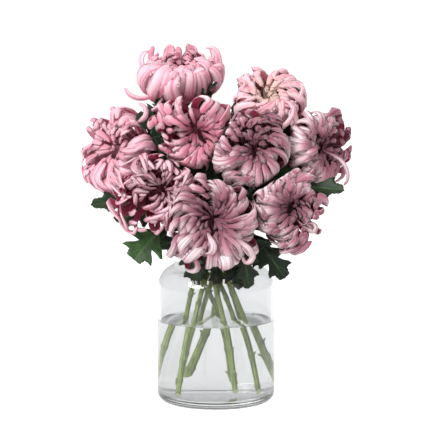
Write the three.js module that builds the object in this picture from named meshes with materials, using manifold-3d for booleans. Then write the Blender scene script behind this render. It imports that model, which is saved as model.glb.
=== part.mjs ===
// Chrysanthemums in a clear glass jar, in millimetres, +Z up.
// The origin is the middle of the jar's flat underside, and the flowers face -Y.

import * as THREE from 'three';
import { mergeVertices } from 'three/addons/utils/BufferGeometryUtils.js';
import Module from 'manifold-3d';

const wasm = await Module();
wasm.setup();

// Jar: a straight wall, a round shoulder, a narrower neck and a rolled lip.
const BODY_R = 73;
const WALL = 4;
const BASE_THICKNESS = 9;
const CORNER_R = 12;
const SHOULDER_R = 30;
const SHOULDER_Z = 142;
const NECK_R = 50;
const NECK_FILLET_R = 10;
const LIP_Z = 206;
const LIP_R = 3.4;
const LIP_DROP = 9;
const ROUND_SIDES = 36;
const CORNER_STEPS = 3;
const SHOULDER_STEPS = 4;
const FILLET_STEPS = 2;
const LIP_STEPS = 4;

// Water
const WATER_LEVEL = 101;
const SEAT_GAP = 0.3;

// Blooms: petals leave a core, bulge out to the bloom's radius and close over its face.
const BLOOM_GAP = 1.4;
const BLOOM_SOFT_EDGE = 9;
// Lengths of the core and of the petals' midlines are shares of the bloom's radius.
const CORE_SIDES = 10;
const CORE_FOOT_Z = -0.58;
const CORE_PROFILE = [[0, CORE_FOOT_Z], [0.2, CORE_FOOT_Z], [0.42, -0.3], [0.48, -0.05], [0.36, 0.2], [0, 0.34]];
const SHORTEST_REACH = 0.94;
const REACH_SPREAD = 0.08;
const AZIMUTH_SPREAD = 0.2;
const PETAL_BACK = 2.4;
const PETAL_CUP = 0.16;

// Stems and leaves
const STEM_R = 3.4;
const STEM_SIDES = 6;
const STEM_STEPS = 14;
const CALYX_R = 11;
const CALYX_HEIGHT = 10;
const CALYX_WAIST = [0.8, 0.55];
const STEM_IN_CALYX = 2;
const STRAIGHT_UNDER_BLOOM = 14;
const LEAF_THICKNESS = 0.9;
const LEAF_CLEARANCE = 4;
const CLEARING_ROUNDS = 12;
const LEAF_SWEEP = 0.55;
const LEAF_FOLD = 0.14;
const LEAF_ARCH = 0.12;

const COLOURS = {
  glass: 0xe9eeee,
  water: 0xdfe8e6,
  palePink: 0xe6c3cc,
  midPink: 0xd39ab0,
  mauvePink: 0xc58fa6,
  green: 0x5f7f3c,
};

// The photograph's nine blooms: centre, the way the face looks, radius, petal set and colour.
const BLOOMS = [
  { at: [-45, 45, 400], face: [-0.05, -0.28, 0.96], radius: 53, set: 'cup', colour: 'palePink' },
  { at: [-117, 18, 310], face: [-0.62, -0.75, 0.18], radius: 55, set: 'ball', colour: 'palePink' },
  { at: [-28, -25, 343], face: [0.1, -0.98, 0.05], radius: 53, set: 'star', colour: 'midPink' },
  { at: [-74, -50, 261], face: [0.1, -0.96, 0.2], radius: 51, set: 'star', colour: 'mauvePink' },
  { at: [-4, -80, 229], face: [0.08, -0.94, 0.3], radius: 58, set: 'ball', colour: 'mauvePink' },
  { at: [85, -58, 243], face: [0.3, -0.94, 0.12], radius: 48, set: 'ball', colour: 'mauvePink' },
  { at: [125, 0, 317], face: [0.6, -0.8, 0.0], radius: 46, set: 'ball', colour: 'mauvePink' },
  { at: [64, 30, 372], face: [0.02, -0.62, 0.78], radius: 46, set: 'ball', colour: 'palePink' },
  { at: [39, -42, 312], face: [0.15, -0.93, 0.33], radius: 51, set: 'ball', colour: 'mauvePink' },
];

// Petal rings, from the outside in. Each petal's midline is a cubic curve in the half plane through the
// bloom's axis: four points of (distance from the axis, height along it), as shares of the radius.
const PETAL_SETS = {
  ball: [
    { count: 10, width: 0.27, steps: 5, line: [[0.25, -0.4], [1.05, -0.66], [1.3, 0.36], [0.5, 0.74]] },
    { count: 7, width: 0.22, steps: 4, line: [[0.2, -0.2], [0.78, -0.3], [0.98, 0.5], [0.3, 0.76]] },
    { count: 4, width: 0.16, steps: 3, line: [[0.12, 0.05], [0.45, 0.05], [0.62, 0.66], [0.12, 0.76]] },
  ],
  star: [
    { count: 10, width: 0.25, steps: 5, line: [[0.25, -0.4], [0.98, -0.56], [1.36, 0.04], [0.8, 0.5]] },
    { count: 7, width: 0.2, steps: 4, line: [[0.2, -0.2], [0.75, -0.25], [1.02, 0.4], [0.48, 0.7]] },
    { count: 4, width: 0.15, steps: 3, line: [[0.12, 0.05], [0.4, 0.05], [0.62, 0.5], [0.16, 0.68]] },
  ],
  cup: [
    { count: 10, width: 0.28, steps: 5, line: [[0.25, -0.4], [1.02, -0.68], [1.28, 0.06], [0.84, 0.6]] },
    { count: 7, width: 0.24, steps: 4, line: [[0.2, -0.2], [0.8, -0.3], [0.98, 0.36], [0.58, 0.74]] },
    { count: 4, width: 0.16, steps: 3, line: [[0.12, 0.05], [0.42, 0.05], [0.6, 0.6], [0.2, 0.74]] },
  ],
};

// Each stem's way from its cut end in the water up through the neck, ending at the green cup of its bloom.
const STEM_WAYS = [
  [[21, -36, 17], [11, -26, 96], [-10, -6, 185], [-24, 22, 275]],
  [[46, -22, 14], [24, 0, 98], [-14, 23, 186], [-52, 32, 252]],
  [[14, 40, 18], [4, 26, 100], [-30, 2, 185], [-32, 6, 262]],
  [[49, 32, 14], [31, 14, 98], [2, -9, 182], [-34, -24, 226]],
  [[58, 8, 25], [40, -12, 92], [1, -32, 188], [-7, -39, 212]],
  [[-57, 16, 20], [-39, 8, 98], [-19, -17, 168], [34, -29, 226]],
  [[-38, -8, 18], [-20, -4, 103], [11, 7, 186], [62, 14, 256]],
  [[-43, -36, 12], [-28, -24, 97], [-5, 13, 178], [34, 40, 280]],
  [[-22, 44, 25], [-5, 36, 96], [14, 22, 186], [34, 6, 250]],
];

// Leaves: the stem they grow on, how far up it, the tip, the way the upper face looks, and half the width.
const LEAVES = [
  { stem: 2, up: 0.72, tip: [-154, -12, 246], face: [-0.1, -0.75, 0.65], width: 20 },
  { stem: 4, up: 0.86, tip: [-102, -30, 181], face: [-0.2, -0.95, 0.2], width: 27 },
  { stem: 5, up: 0.8, tip: [-24, -30, 150], face: [-0.3, -0.95, 0.0], width: 14 },
  { stem: 6, up: 0.8, tip: [84, -48, 160], face: [0.2, -0.95, 0.2], width: 20 },
  { stem: 9, up: 0.6, tip: [40, -16, 146], face: [0.2, -0.95, 0.0], width: 12 },
  { stem: 7, up: 0.76, tip: [156, -38, 266], face: [0.1, -0.8, 0.6], width: 18 },
  { stem: 3, up: 0.8, tip: [-92, 12, 362], face: [-0.3, -0.7, 0.6], width: 16 },
  { stem: 1, up: 0.8, tip: [-4, 2, 398], face: [0.2, -0.9, 0.4], width: 16 },
  { stem: 8, up: 0.88, tip: [14, 10, 362], face: [0.0, -1.0, 0.2], width: 16 },
  { stem: 9, up: 0.84, tip: [88, -20, 282], face: [0.2, -0.9, 0.4], width: 16 },
  { stem: 1, up: 0.74, tip: [-88, 96, 356], face: [-0.3, 0.8, 0.5], width: 22 },
  { stem: 2, up: 0.85, tip: [-150, 72, 262], face: [-0.4, 0.8, 0.4], width: 20 },
  { stem: 8, up: 0.78, tip: [92, 92, 330], face: [0.3, 0.8, 0.5], width: 22 },
  { stem: 7, up: 0.86, tip: [150, 62, 268], face: [0.4, 0.8, 0.4], width: 20 },
  { stem: 3, up: 0.72, tip: [-40, 92, 268], face: [-0.1, 0.9, 0.4], width: 24 },
  { stem: 9, up: 0.76, tip: [44, 98, 262], face: [0.2, 0.9, 0.4], width: 24 },
  { stem: 3, up: 0.78, tip: [8, -2, 302], face: [0.2, -1.0, 0.3], width: 15 },
  { stem: 8, up: 0.62, tip: [6, 96, 322], face: [0.0, 0.8, 0.5], width: 22 },
];

// Leaf outline: how far along the blade, and half the width there. Lobes stand between deep notches.
const LEAF_OUTLINE = [
  [0, 0.08], [0.22, 0.09], [0.3, 0.34], [0.38, 0.7], [0.46, 0.3],
  [0.55, 0.96], [0.66, 0.36], [0.76, 0.78], [0.84, 0.42], [0.93, 0.36], [1, 0.06],
];

const vector = (values) => new THREE.Vector3(...values);

// A repeatable draw between 0 and 1 (mulberry32).
function seededDraw(seed) {
  let state = seed >>> 0;
  return () => {
    state = (state + 0x6d2b79f5) >>> 0;
    let mixed = Math.imul(state ^ (state >>> 15), state | 1);
    mixed ^= mixed + Math.imul(mixed ^ (mixed >>> 7), mixed | 61);
    return ((mixed ^ (mixed >>> 14)) >>> 0) / 4294967296;
  };
}

function toSolid(geometry) {
  const bare = geometry.clone();
  bare.deleteAttribute('normal');
  bare.deleteAttribute('uv');
  const merged = mergeVertices(bare, 1e-4);
  const mesh = new wasm.Mesh({
    numProp: 3,
    vertProperties: new Float32Array(merged.attributes.position.array),
    triVerts: new Uint32Array(merged.index.array),
  });
  return new wasm.Manifold(mesh);
}

function toGeometry(solid) {
  const mesh = solid.getMesh();
  const geometry = new THREE.BufferGeometry();
  geometry.setAttribute('position', new THREE.BufferAttribute(mesh.vertProperties, 3));
  geometry.setIndex(new THREE.BufferAttribute(mesh.triVerts, 1));
  geometry.computeVertexNormals();
  return geometry;
}

// Fuses overlapping solids, fills any sealed hollow and keeps the largest body.
function fuse(solids) {
  const shells = solids.reduce((sum, solid) => sum.add(solid)).decompose();
  return shells.reduce((best, shell) => (shell.volume() > best.volume() ? shell : best));
}

function indexedGeometry(points, triangles) {
  const geometry = new THREE.BufferGeometry();
  geometry.setAttribute('position', new THREE.Float32BufferAttribute(points.flatMap((p) => p.toArray()), 3));
  geometry.setIndex(triangles.flat());
  return geometry;
}

function arcPoints(centreR, centreZ, radius, fromDegrees, toDegrees, steps) {
  const points = [];
  for (let i = 0; i <= steps; i += 1) {
    const angle = THREE.MathUtils.degToRad(fromDegrees + ((toDegrees - fromDegrees) * i) / steps);
    points.push(new THREE.Vector2(centreR + radius * Math.cos(angle), centreZ + radius * Math.sin(angle)));
  }
  return points;
}

// The wall's outline from the bottom corner to the neck, set inwards by `inset`. The shoulder's arc and the
// fillet at the neck meet where their centres line up.
function wallProfile(inset, floorZ) {
  const cornerR = CORNER_R - inset;
  const filletCentreR = NECK_R + NECK_FILLET_R;
  const across = filletCentreR - (BODY_R - SHOULDER_R);
  const centres = SHOULDER_R + NECK_FILLET_R;
  const filletCentreZ = SHOULDER_Z + Math.sqrt(centres ** 2 - across ** 2);
  const meeting = THREE.MathUtils.radToDeg(Math.acos(across / centres));
  return [
    ...arcPoints(BODY_R - CORNER_R, floorZ + cornerR, cornerR, -90, 0, CORNER_STEPS),
    ...arcPoints(BODY_R - SHOULDER_R, SHOULDER_Z, SHOULDER_R - inset, 0, meeting, SHOULDER_STEPS),
    ...arcPoints(filletCentreR, filletCentreZ, NECK_FILLET_R + inset, 180 + meeting, 180, FILLET_STEPS).slice(1),
  ];
}

// A profile of (radius, height) turned round the vertical axis.
function turned(profile, sides) {
  return new THREE.LatheGeometry(profile, sides).rotateX(Math.PI / 2);
}

function jarGeometry() {
  const outer = wallProfile(0, 0);
  const inner = wallProfile(WALL, BASE_THICKNESS).reverse();
  const underLip = new THREE.Vector2(NECK_R, LIP_Z - LIP_DROP);
  const lip = arcPoints(NECK_R - WALL + LIP_R, LIP_Z - LIP_R, LIP_R, -60, 180, LIP_STEPS);
  const floor = new THREE.Vector2(0, BASE_THICKNESS);
  return turned([new THREE.Vector2(0, 0), ...outer, underLip, ...lip, ...inner, floor], ROUND_SIDES);
}

function stemCurve(number) {
  const way = STEM_WAYS[number - 1].map(vector);
  const { at, face, radius } = BLOOMS[number - 1];
  const back = vector(face).normalize().negate();
  const depth = -CORE_FOOT_Z * radius + SEAT_GAP + CALYX_HEIGHT - STEM_IN_CALYX;
  const cup = vector(at).addScaledVector(back, depth);
  const behind = cup.clone().addScaledVector(back, STRAIGHT_UNDER_BLOOM);
  return new THREE.CatmullRomCurve3([...way, behind, cup], false, 'catmullrom', 0.5);
}

function stemTube(curve, radius) {
  const section = new THREE.Shape();
  for (let side = 0; side < STEM_SIDES; side += 1) {
    const angle = (2 * Math.PI * side) / STEM_SIDES;
    const corner = [radius * Math.cos(angle), radius * Math.sin(angle)];
    if (side === 0) section.moveTo(...corner);
    else section.lineTo(...corner);
  }
  section.closePath();
  return new THREE.ExtrudeGeometry(section, { steps: STEM_STEPS, extrudePath: curve, bevelEnabled: false });
}

function waterSolid() {
  const inset = WALL + SEAT_GAP;
  const cornerR = CORNER_R - inset;
  const floorZ = BASE_THICKNESS + SEAT_GAP;
  const profile = [
    new THREE.Vector2(0, floorZ),
    ...arcPoints(BODY_R - CORNER_R, floorZ + cornerR, cornerR, -90, 0, CORNER_STEPS),
    new THREE.Vector2(BODY_R - inset, WATER_LEVEL),
    new THREE.Vector2(0, WATER_LEVEL),
  ];
  let water = toSolid(turned(profile, ROUND_SIDES));
  for (let number = 1; number <= STEM_WAYS.length; number += 1) {
    water = water.subtract(toSolid(stemTube(stemCurve(number), STEM_R + SEAT_GAP)));
  }
  return water;
}

// Keeps a point on its own bloom's side of the plane between it and each neighbour, with a soft approach.
function keepInOwnSpace(point, own) {
  const centre = vector(own.at);
  for (const other of BLOOMS) {
    if (other === own) continue;
    const way = vector(other.at).sub(centre);
    const distance = way.length();
    way.divideScalar(distance);
    const limit = (distance ** 2 + own.radius ** 2 - other.radius ** 2) / (2 * distance) - BLOOM_GAP / 2;
    const reach = point.clone().sub(centre).dot(way);
    const past = reach - (limit - BLOOM_SOFT_EDGE);
    if (past <= 0) continue;
    const kept = BLOOM_SOFT_EDGE * (1 - Math.exp(-past / BLOOM_SOFT_EDGE));
    point.addScaledVector(way, kept - past);
  }
  return point;
}

function bezier(line, t) {
  const s = 1 - t;
  const weights = [s ** 3, 3 * s * s * t, 3 * s * t * t, t ** 3];
  return [0, 1].map((axis) => weights.reduce((sum, weight, i) => sum + weight * line[i][axis], 0));
}

// A petal is narrow at its root, broadest past its middle and half as broad at its tip.
const petalBreadth = (t) => 0.24 + 0.84 * Math.sin(0.9 * Math.PI * t);

// One petal: a tapering blade whose section is a flat inner face with a ridge along its back.
function petalSolid(bloom, frame, ring, azimuth, reach) {
  const points = [];
  const triangles = [];
  const out = frame.across.clone().multiplyScalar(Math.cos(azimuth));
  out.addScaledVector(frame.up, Math.sin(azimuth));
  const side = new THREE.Vector3().crossVectors(frame.axis, out);
  for (let i = 0; i <= ring.steps; i += 1) {
    const t = i / ring.steps;
    const [r, z] = bezier(ring.line, t);
    const [nextR, nextZ] = bezier(ring.line, t + 0.01);
    const along = out.clone().multiplyScalar(nextR - r).addScaledVector(frame.axis, nextZ - z).normalize();
    const outward = new THREE.Vector3().crossVectors(along, side).multiplyScalar(-1);
    const half = bloom.radius * ring.width * petalBreadth(t);
    const middle = vector(bloom.at)
      .addScaledVector(out, r * bloom.radius * reach)
      .addScaledVector(frame.axis, z * bloom.radius);
    for (const edge of [-1, 1]) {
      const border = middle.clone().addScaledVector(side, edge * half);
      points.push(border.addScaledVector(outward, -PETAL_CUP * half));
    }
    points.push(middle.clone().addScaledVector(outward, PETAL_BACK));
    if (i === 0) continue;
    const [a, b, c] = [3 * i - 3, 3 * i - 2, 3 * i - 1];
    const [d, e, f] = [3 * i, 3 * i + 1, 3 * i + 2];
    triangles.push([a, e, b], [a, d, e], [b, f, c], [b, e, f], [c, d, a], [c, f, d]);
  }
  const last = 3 * ring.steps;
  triangles.push([0, 1, 2], [last, last + 2, last + 1]);
  points.forEach((point) => keepInOwnSpace(point, bloom));
  return toSolid(indexedGeometry(points, triangles));
}

function turnedOnBloom(outline, bloom, frame) {
  const lathe = turned(outline, CORE_SIDES);
  lathe.applyMatrix4(new THREE.Matrix4().makeBasis(frame.across, frame.up, frame.axis));
  lathe.translate(...bloom.at);
  return toSolid(lathe);
}

function coreSolid(bloom, frame) {
  const outline = CORE_PROFILE.map(([r, z]) => new THREE.Vector2(r * bloom.radius, z * bloom.radius));
  return turnedOnBloom(outline, bloom, frame);
}

function bloomFrame(bloom) {
  const axis = vector(bloom.face).normalize();
  const across = new THREE.Vector3().crossVectors(new THREE.Vector3(0, 0, 1), axis).normalize();
  const up = new THREE.Vector3().crossVectors(axis, across);
  return { axis, across, up };
}

function bloomGeometry(bloom, number) {
  const frame = bloomFrame(bloom);
  const draw = seededDraw(number);
  const solids = [coreSolid(bloom, frame)];
  PETAL_SETS[bloom.set].forEach((ring, layer) => {
    for (let i = 0; i < ring.count; i += 1) {
      const azimuth = (2 * Math.PI * (i + 0.5 * layer + AZIMUTH_SPREAD * draw())) / ring.count;
      const reach = SHORTEST_REACH + REACH_SPREAD * draw();
      solids.push(petalSolid(bloom, frame, ring, azimuth, reach));
    }
  });
  return toGeometry(fuse(solids));
}

// One lobed leaf: rows of (left edge, rib, right edge) along an arched rib, given a thickness. Its edges are
// swept towards the tip, so the lobes point forwards.
function leafSolid(leaf, curve) {
  const root = curve.getPointAt(leaf.up);
  const tip = vector(leaf.tip);
  const length = tip.distanceTo(root);
  const face = vector(leaf.face).normalize();
  const along = tip.clone().sub(root).normalize();
  const side = new THREE.Vector3().crossVectors(along, face).normalize();
  const lift = new THREE.Vector3().crossVectors(side, along).normalize();
  const crest = root.clone().lerp(tip, 0.5).addScaledVector(lift, LEAF_ARCH * length);
  const rib = new THREE.QuadraticBezierCurve3(root, crest, tip);
  const rows = LEAF_OUTLINE.map(([s, w]) => {
    const half = w * leaf.width;
    const middle = rib.getPoint(s);
    return [-1, 0, 1].map((edge) => middle.clone()
      .addScaledVector(side, edge * half)
      .addScaledVector(along, edge * edge * LEAF_SWEEP * half)
      .addScaledVector(lift, edge * edge * LEAF_FOLD * half));
  });
  rows.flat().forEach((point, i) => {
    if (i > 2) keepOutOfBlooms(point);
  });
  const points = [];
  const triangles = [];
  rows.forEach((row, i) => {
    const before = rows[Math.max(i - 1, 0)][1];
    const after = rows[Math.min(i + 1, rows.length - 1)][1];
    const normal = row[2].clone().sub(row[0]).cross(after.clone().sub(before)).normalize();
    for (const sign of [1, -1]) {
      row.forEach((point) => points.push(point.clone().addScaledVector(normal, (sign * LEAF_THICKNESS) / 2)));
    }
    if (i === 0) return;
    const p = 6 * (i - 1);
    const n = 6 * i;
    for (const k of [0, 3]) {
      const faces = [
        [p + k, p + k + 1, n + k], [p + k + 1, n + k + 1, n + k],
        [p + k + 1, n + k + 2, n + k + 1], [p + k + 1, p + k + 2, n + k + 2],
      ];
      faces.forEach(([a, b, c]) => triangles.push(k === 0 ? [a, b, c] : [a, c, b]));
    }
    triangles.push([p, n, n + 3], [p, n + 3, p + 3], [p + 2, n + 5, n + 2], [p + 2, p + 5, n + 5]);
  });
  const last = 6 * (rows.length - 1);
  triangles.push([0, 3, 1], [1, 3, 4], [1, 4, 2], [2, 4, 5]);
  triangles.push([last, last + 1, last + 3], [last + 1, last + 4, last + 3]);
  triangles.push([last + 1, last + 2, last + 4], [last + 2, last + 5, last + 4]);
  return toSolid(indexedGeometry(points, triangles));
}

// Bends a leaf's point clear of every bloom, in rounds, because leaving one bloom can enter the next.
function keepOutOfBlooms(point) {
  for (let round = 0; round < CLEARING_ROUNDS; round += 1) {
    for (const bloom of BLOOMS) {
      const away = point.clone().sub(vector(bloom.at));
      const short = bloom.radius + LEAF_CLEARANCE - away.length();
      if (short > 0) point.addScaledVector(away.normalize(), short);
    }
  }
}

function calyxSolid(bloom, frame) {
  const top = CORE_FOOT_Z * bloom.radius - SEAT_GAP;
  const [waistR, waistDrop] = CALYX_WAIST;
  const outline = [
    [0, top - CALYX_HEIGHT],
    [STEM_R, top - CALYX_HEIGHT],
    [CALYX_R * waistR, top - CALYX_HEIGHT * waistDrop],
    [CALYX_R, top],
    [0, top],
  ];
  return turnedOnBloom(outline.map(([r, z]) => new THREE.Vector2(r, z)), bloom, frame);
}

function stemGeometry(number) {
  const bloom = BLOOMS[number - 1];
  const curve = stemCurve(number);
  const solids = [toSolid(stemTube(curve, STEM_R)), calyxSolid(bloom, bloomFrame(bloom))];
  LEAVES.filter((leaf) => leaf.stem === number).forEach((leaf) => solids.push(leafSolid(leaf, curve)));
  return toGeometry(fuse(solids));
}

function material(colour, roughness) {
  return new THREE.MeshStandardMaterial({ color: COLOURS[colour], roughness, metalness: 0 });
}

function addPiece(group, name, geometry, pieceMaterial) {
  const mesh = new THREE.Mesh(geometry, pieceMaterial);
  mesh.name = name;
  group.add(mesh);
}

const bouquet = new THREE.Group();
addPiece(bouquet, 'jar', toGeometry(toSolid(jarGeometry())), material('glass', 0.05));
addPiece(bouquet, 'water', toGeometry(waterSolid()), material('water', 0.02));
BLOOMS.forEach((bloom, i) => {
  addPiece(bouquet, `bloom_${i + 1}`, bloomGeometry(bloom, i + 1), material(bloom.colour, 0.6));
  addPiece(bouquet, `stem_${i + 1}`, stemGeometry(i + 1), material('green', 0.55));
});

export default bouquet;
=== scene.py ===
"""Chrysanthemums in a clear glass jar: the looks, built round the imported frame.

Everything is worked out in millimetres, +Z up, with the origin in the middle of the jar's underside and
the flowers facing -Y. Meshes are written in metres, with every object at the origin.
"""

import logging
import math
from dataclasses import dataclass
from enum import Enum
from functools import partial
from typing import Any, Callable, Sequence

import bpy
import numpy as np
from mathutils import Matrix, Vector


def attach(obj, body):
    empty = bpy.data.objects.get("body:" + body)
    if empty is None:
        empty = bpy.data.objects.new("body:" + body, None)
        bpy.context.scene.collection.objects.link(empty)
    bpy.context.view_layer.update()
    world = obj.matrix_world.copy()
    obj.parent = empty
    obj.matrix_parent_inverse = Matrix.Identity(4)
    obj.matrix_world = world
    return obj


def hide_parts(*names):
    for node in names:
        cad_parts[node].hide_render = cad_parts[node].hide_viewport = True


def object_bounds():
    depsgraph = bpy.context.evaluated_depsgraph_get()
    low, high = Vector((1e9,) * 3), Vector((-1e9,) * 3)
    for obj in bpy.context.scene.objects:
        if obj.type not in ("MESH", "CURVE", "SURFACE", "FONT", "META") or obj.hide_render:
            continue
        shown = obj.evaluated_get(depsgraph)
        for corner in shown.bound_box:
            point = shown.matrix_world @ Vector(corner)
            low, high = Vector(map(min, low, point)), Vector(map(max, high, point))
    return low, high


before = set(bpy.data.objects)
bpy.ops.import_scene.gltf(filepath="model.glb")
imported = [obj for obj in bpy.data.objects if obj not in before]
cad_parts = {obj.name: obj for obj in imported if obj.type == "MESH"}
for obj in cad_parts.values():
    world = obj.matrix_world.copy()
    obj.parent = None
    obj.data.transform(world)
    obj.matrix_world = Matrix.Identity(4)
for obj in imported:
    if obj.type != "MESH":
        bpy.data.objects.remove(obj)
CAD_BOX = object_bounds()

LOG = logging.getLogger("chrysanthemums")
BODY = "root"
MM = 0.001
# What the random draws start from: a bloom's or a stem's number is added
PETAL_SEED = 100
STALK_SEED = 500
LEAF_SEED = 900
# Each leaf's waves have a seed of their own: this times its stem's number, and its place in the list
LEAF_SEEDS_APART = 1000
Array = np.ndarray
Point = tuple[float, float, float]


# ---------------------------------------------------------------------------------------------------------
# Meshes from grids
# ---------------------------------------------------------------------------------------------------------


def unit(vectors: Array) -> Array:
    """Scales vectors to length one: v / |v| along the last axis.

    Args:
        vectors: Any array whose last axis has the three components.

    Returns:
        The same array with every vector's length made one.
    """
    length = np.linalg.norm(vectors, axis=-1, keepdims=True)
    return vectors / np.maximum(length, 1e-9)


def smooth(x: Array) -> Array:
    """Eases from 0 to 1: 3x^2 - 2x^3 on x clipped to 0..1."""
    x = np.clip(x, 0.0, 1.0)
    return x * x * (3.0 - 2.0 * x)


def eased(x: Array, keys: Array, values: Array) -> Array:
    """Runs through key values with a level stretch at each key.

    Between two keys the value is a + (b - a)(3u^2 - 2u^3), where u is the share of the way.

    Args:
        x: Where to read the curve.
        keys: Rising key places.
        values: The value at each key.

    Returns:
        The curve's value at each x.
    """
    keys, values = np.asarray(keys, float), np.asarray(values, float)
    i = np.clip(np.searchsorted(keys, x, side="right") - 1, 0, len(keys) - 2)
    share = smooth((x - keys[i]) / (keys[i + 1] - keys[i]))
    return values[i] + (values[i + 1] - values[i]) * share


def spline(line: Array, t: Array) -> Array:
    """Points on the uniform Catmull-Rom curve through a line's points.

    Between b and c, with a before and d after, the point is
    ((-u + 2u^2 - u^3) a + (2 - 5u^2 + 3u^3) b + (u + 4u^2 - 3u^3) c + (-u^2 + u^3) d) / 2.

    Args:
        line: The points to pass through, shape (..., m, k).
        t: Shares of the way along, shape (rows,).

    Returns:
        Points of shape (..., rows, k).
    """
    before = 2 * line[..., :1, :] - line[..., 1:2, :]
    after = 2 * line[..., -1:, :] - line[..., -2:-1, :]
    line = np.concatenate([before, line, after], axis=-2)
    spans = line.shape[-2] - 3
    i = np.minimum((t * spans).astype(int), spans - 1)
    u = (t * spans - i)[:, None]
    return (
        (-u + 2 * u**2 - u**3) * line[..., i, :]
        + (2 - 5 * u**2 + 3 * u**3) * line[..., i + 1, :]
        + (u + 4 * u**2 - 3 * u**3) * line[..., i + 2, :]
        + (u**3 - u**2) * line[..., i + 3, :]
    ) / 2


def held_back(past: Array, edge: float) -> Array:
    """How far points move back that are past a soft edge.

    With the edge e, an overshoot p becomes e (1 - exp(-p / e)), which never reaches e.

    Args:
        past: How far each point is past the start of the edge.
        edge: The edge's depth.

    Returns:
        The way from each point to its new place, never above zero.
    """
    kept = edge * (1.0 - np.exp(-np.maximum(past, 0.0) / edge))
    return np.where(past > 0.0, kept - past, 0.0)


def lengths(line: Array) -> Array:
    """The length along a line of points, shape (m, 3), up to each of them."""
    return np.concatenate([[0], np.cumsum(np.linalg.norm(np.diff(line, axis=0), axis=1))])


def sideways(along: Array) -> Array:
    """A direction square to each given one, which hardly turns along a stem: along x (0.3, 1, 0.1)."""
    return unit(np.cross(along, [0.3, 1.0, 0.1]))


def facing(way: Point) -> Array:
    """The directions of something that looks the given way, with its sides level.

    Args:
        way: Where it looks.

    Returns:
        Three rows: across, up, and the axis that it looks along.
    """
    axis = unit(np.array(way, float))
    across = unit(np.cross([0.0, 0.0, 1.0], axis))
    return np.array([across, np.cross(axis, across), axis])


def circle(sides: int) -> Array:
    """The angles of a circle's corners, from 0 round to just short of 2 pi."""
    return 2 * np.pi * np.arange(sides) / sides


def shell_quads(shells: int, rows: int, around: int) -> Array:
    """Quads of closed shells, each a stack of rings with both ends capped.

    Vertex (shell, row, k) has the number (shell * rows + row) * around + k. The sides are the quads
    between neighbours on neighbouring rings, and each cap is a fan of quads across its ring.

    Args:
        shells: How many shells there are.
        rows: Rings in each shell.
        around: Vertices on each ring, an even number.

    Returns:
        Vertex numbers, shape (quads, 4), with the faces looking outwards.
    """
    ring = np.arange(around)
    row = np.arange(rows - 1)[:, None] * around
    turn = (ring + 1) % around
    sides = np.stack([row + ring, row + around + ring, row + around + turn, row + turn], axis=-1)
    j = np.arange(around // 2 - 1)
    root = np.stack([j, j + 1, around - 2 - j, around - 1 - j], axis=-1)
    tip = root[:, ::-1] + (rows - 1) * around
    one = np.concatenate([sides.reshape(-1, 4), root, tip])
    return (one[None] + np.arange(shells)[:, None, None] * rows * around).reshape(-1, 4)


@dataclass
class Skin:
    """Points and quads of one mesh in the making, with a value for each point of every named attribute."""

    points: Array
    quads: Array
    uv: Array
    values: dict[str, Array]


def joined(skins: list[Skin]) -> Skin:
    """Puts skins one after the other.

    Args:
        skins: Skins with the same named attributes.

    Returns:
        One skin that holds them all.
    """
    starts = np.cumsum([0] + [len(skin.points) for skin in skins[:-1]])
    return Skin(
        np.concatenate([skin.points for skin in skins]),
        np.concatenate([skin.quads + start for skin, start in zip(skins, starts)]),
        np.concatenate([skin.uv for skin in skins]),
        {name: np.concatenate([skin.values[name] for skin in skins]) for name in skins[0].values},
    )


def shell_skin(points: Array, u: Array, v: Array, clockwise: bool = False, **values: Array | float) -> Skin:
    """Closed shells as one skin. What is given with them spreads over their (shells, rings, around) points.

    Args:
        points: Points of shape (shells, rings, around, 3).
        u: The first of the UV coordinates.
        v: The second one.
        clockwise: Whether the rings go round the other way, so that the quads have to be turned.
        values: The named attributes.

    Returns:
        The skin, with its faces looking outwards.
    """
    shape = points.shape[:3]

    def spread(value: Array | float) -> Array:
        """Gives every point its value."""
        return np.broadcast_to(value, shape).reshape(-1)

    quads = shell_quads(*shape)
    return Skin(
        points.reshape(-1, 3),
        quads[:, ::-1] if clockwise else quads,
        np.stack([spread(u), spread(v)], axis=-1),
        {name: spread(value) for name, value in values.items()},
    )


def make_piece(name: str, skin: Skin, material: bpy.types.Material, slot: str, *nodes: str) -> None:
    """Makes one finished piece of the object from a skin. It rides on the one body that all pieces share.

    Args:
        name: The piece's name.
        skin: Its points in millimetres, its quads, UVs and attributes.
        material: Its finish.
        slot: Not used.
        nodes: The CAD nodes that the piece stands for.
    """
    mesh = bpy.data.meshes.new(name)
    mesh.from_pydata((skin.points * MM).tolist(), [], skin.quads.tolist())
    mesh.update()
    corners = np.empty(len(mesh.loops), np.int32)
    mesh.loops.foreach_get("vertex_index", corners)
    layer = mesh.uv_layers.new(name="UVMap")
    layer.data.foreach_set("uv", skin.uv[corners].astype(np.float32).ravel())
    for key, value in skin.values.items():
        attribute = mesh.attributes.new(key, "FLOAT", "POINT")
        attribute.data.foreach_set("value", value.astype(np.float32).ravel())
    mesh.polygons.foreach_set("use_smooth", np.ones(len(mesh.polygons), bool))
    mesh.materials.append(material)
    piece = bpy.data.objects.new(name, mesh)
    bpy.context.scene.collection.objects.link(piece)
    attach(piece, BODY)
    if nodes:
        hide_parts(*nodes)
    LOG.info("%s: %d quads", name, len(skin.quads))


# ---------------------------------------------------------------------------------------------------------
# Finishes
# ---------------------------------------------------------------------------------------------------------


def linear(code: str) -> tuple[float, float, float, float]:
    """Turns an sRGB colour to a linear one.

    Args:
        code: The colour in hex, such as "#a1b2c3".

    Returns:
        Linear red, green and blue, and an alpha of 1.
    """
    channels = [int(code[i : i + 2], 16) / 255.0 for i in (1, 3, 5)]
    red, green, blue = [c / 12.92 if c <= 0.04045 else ((c + 0.055) / 1.055) ** 2.4 for c in channels]
    return red, green, blue, 1.0


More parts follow.
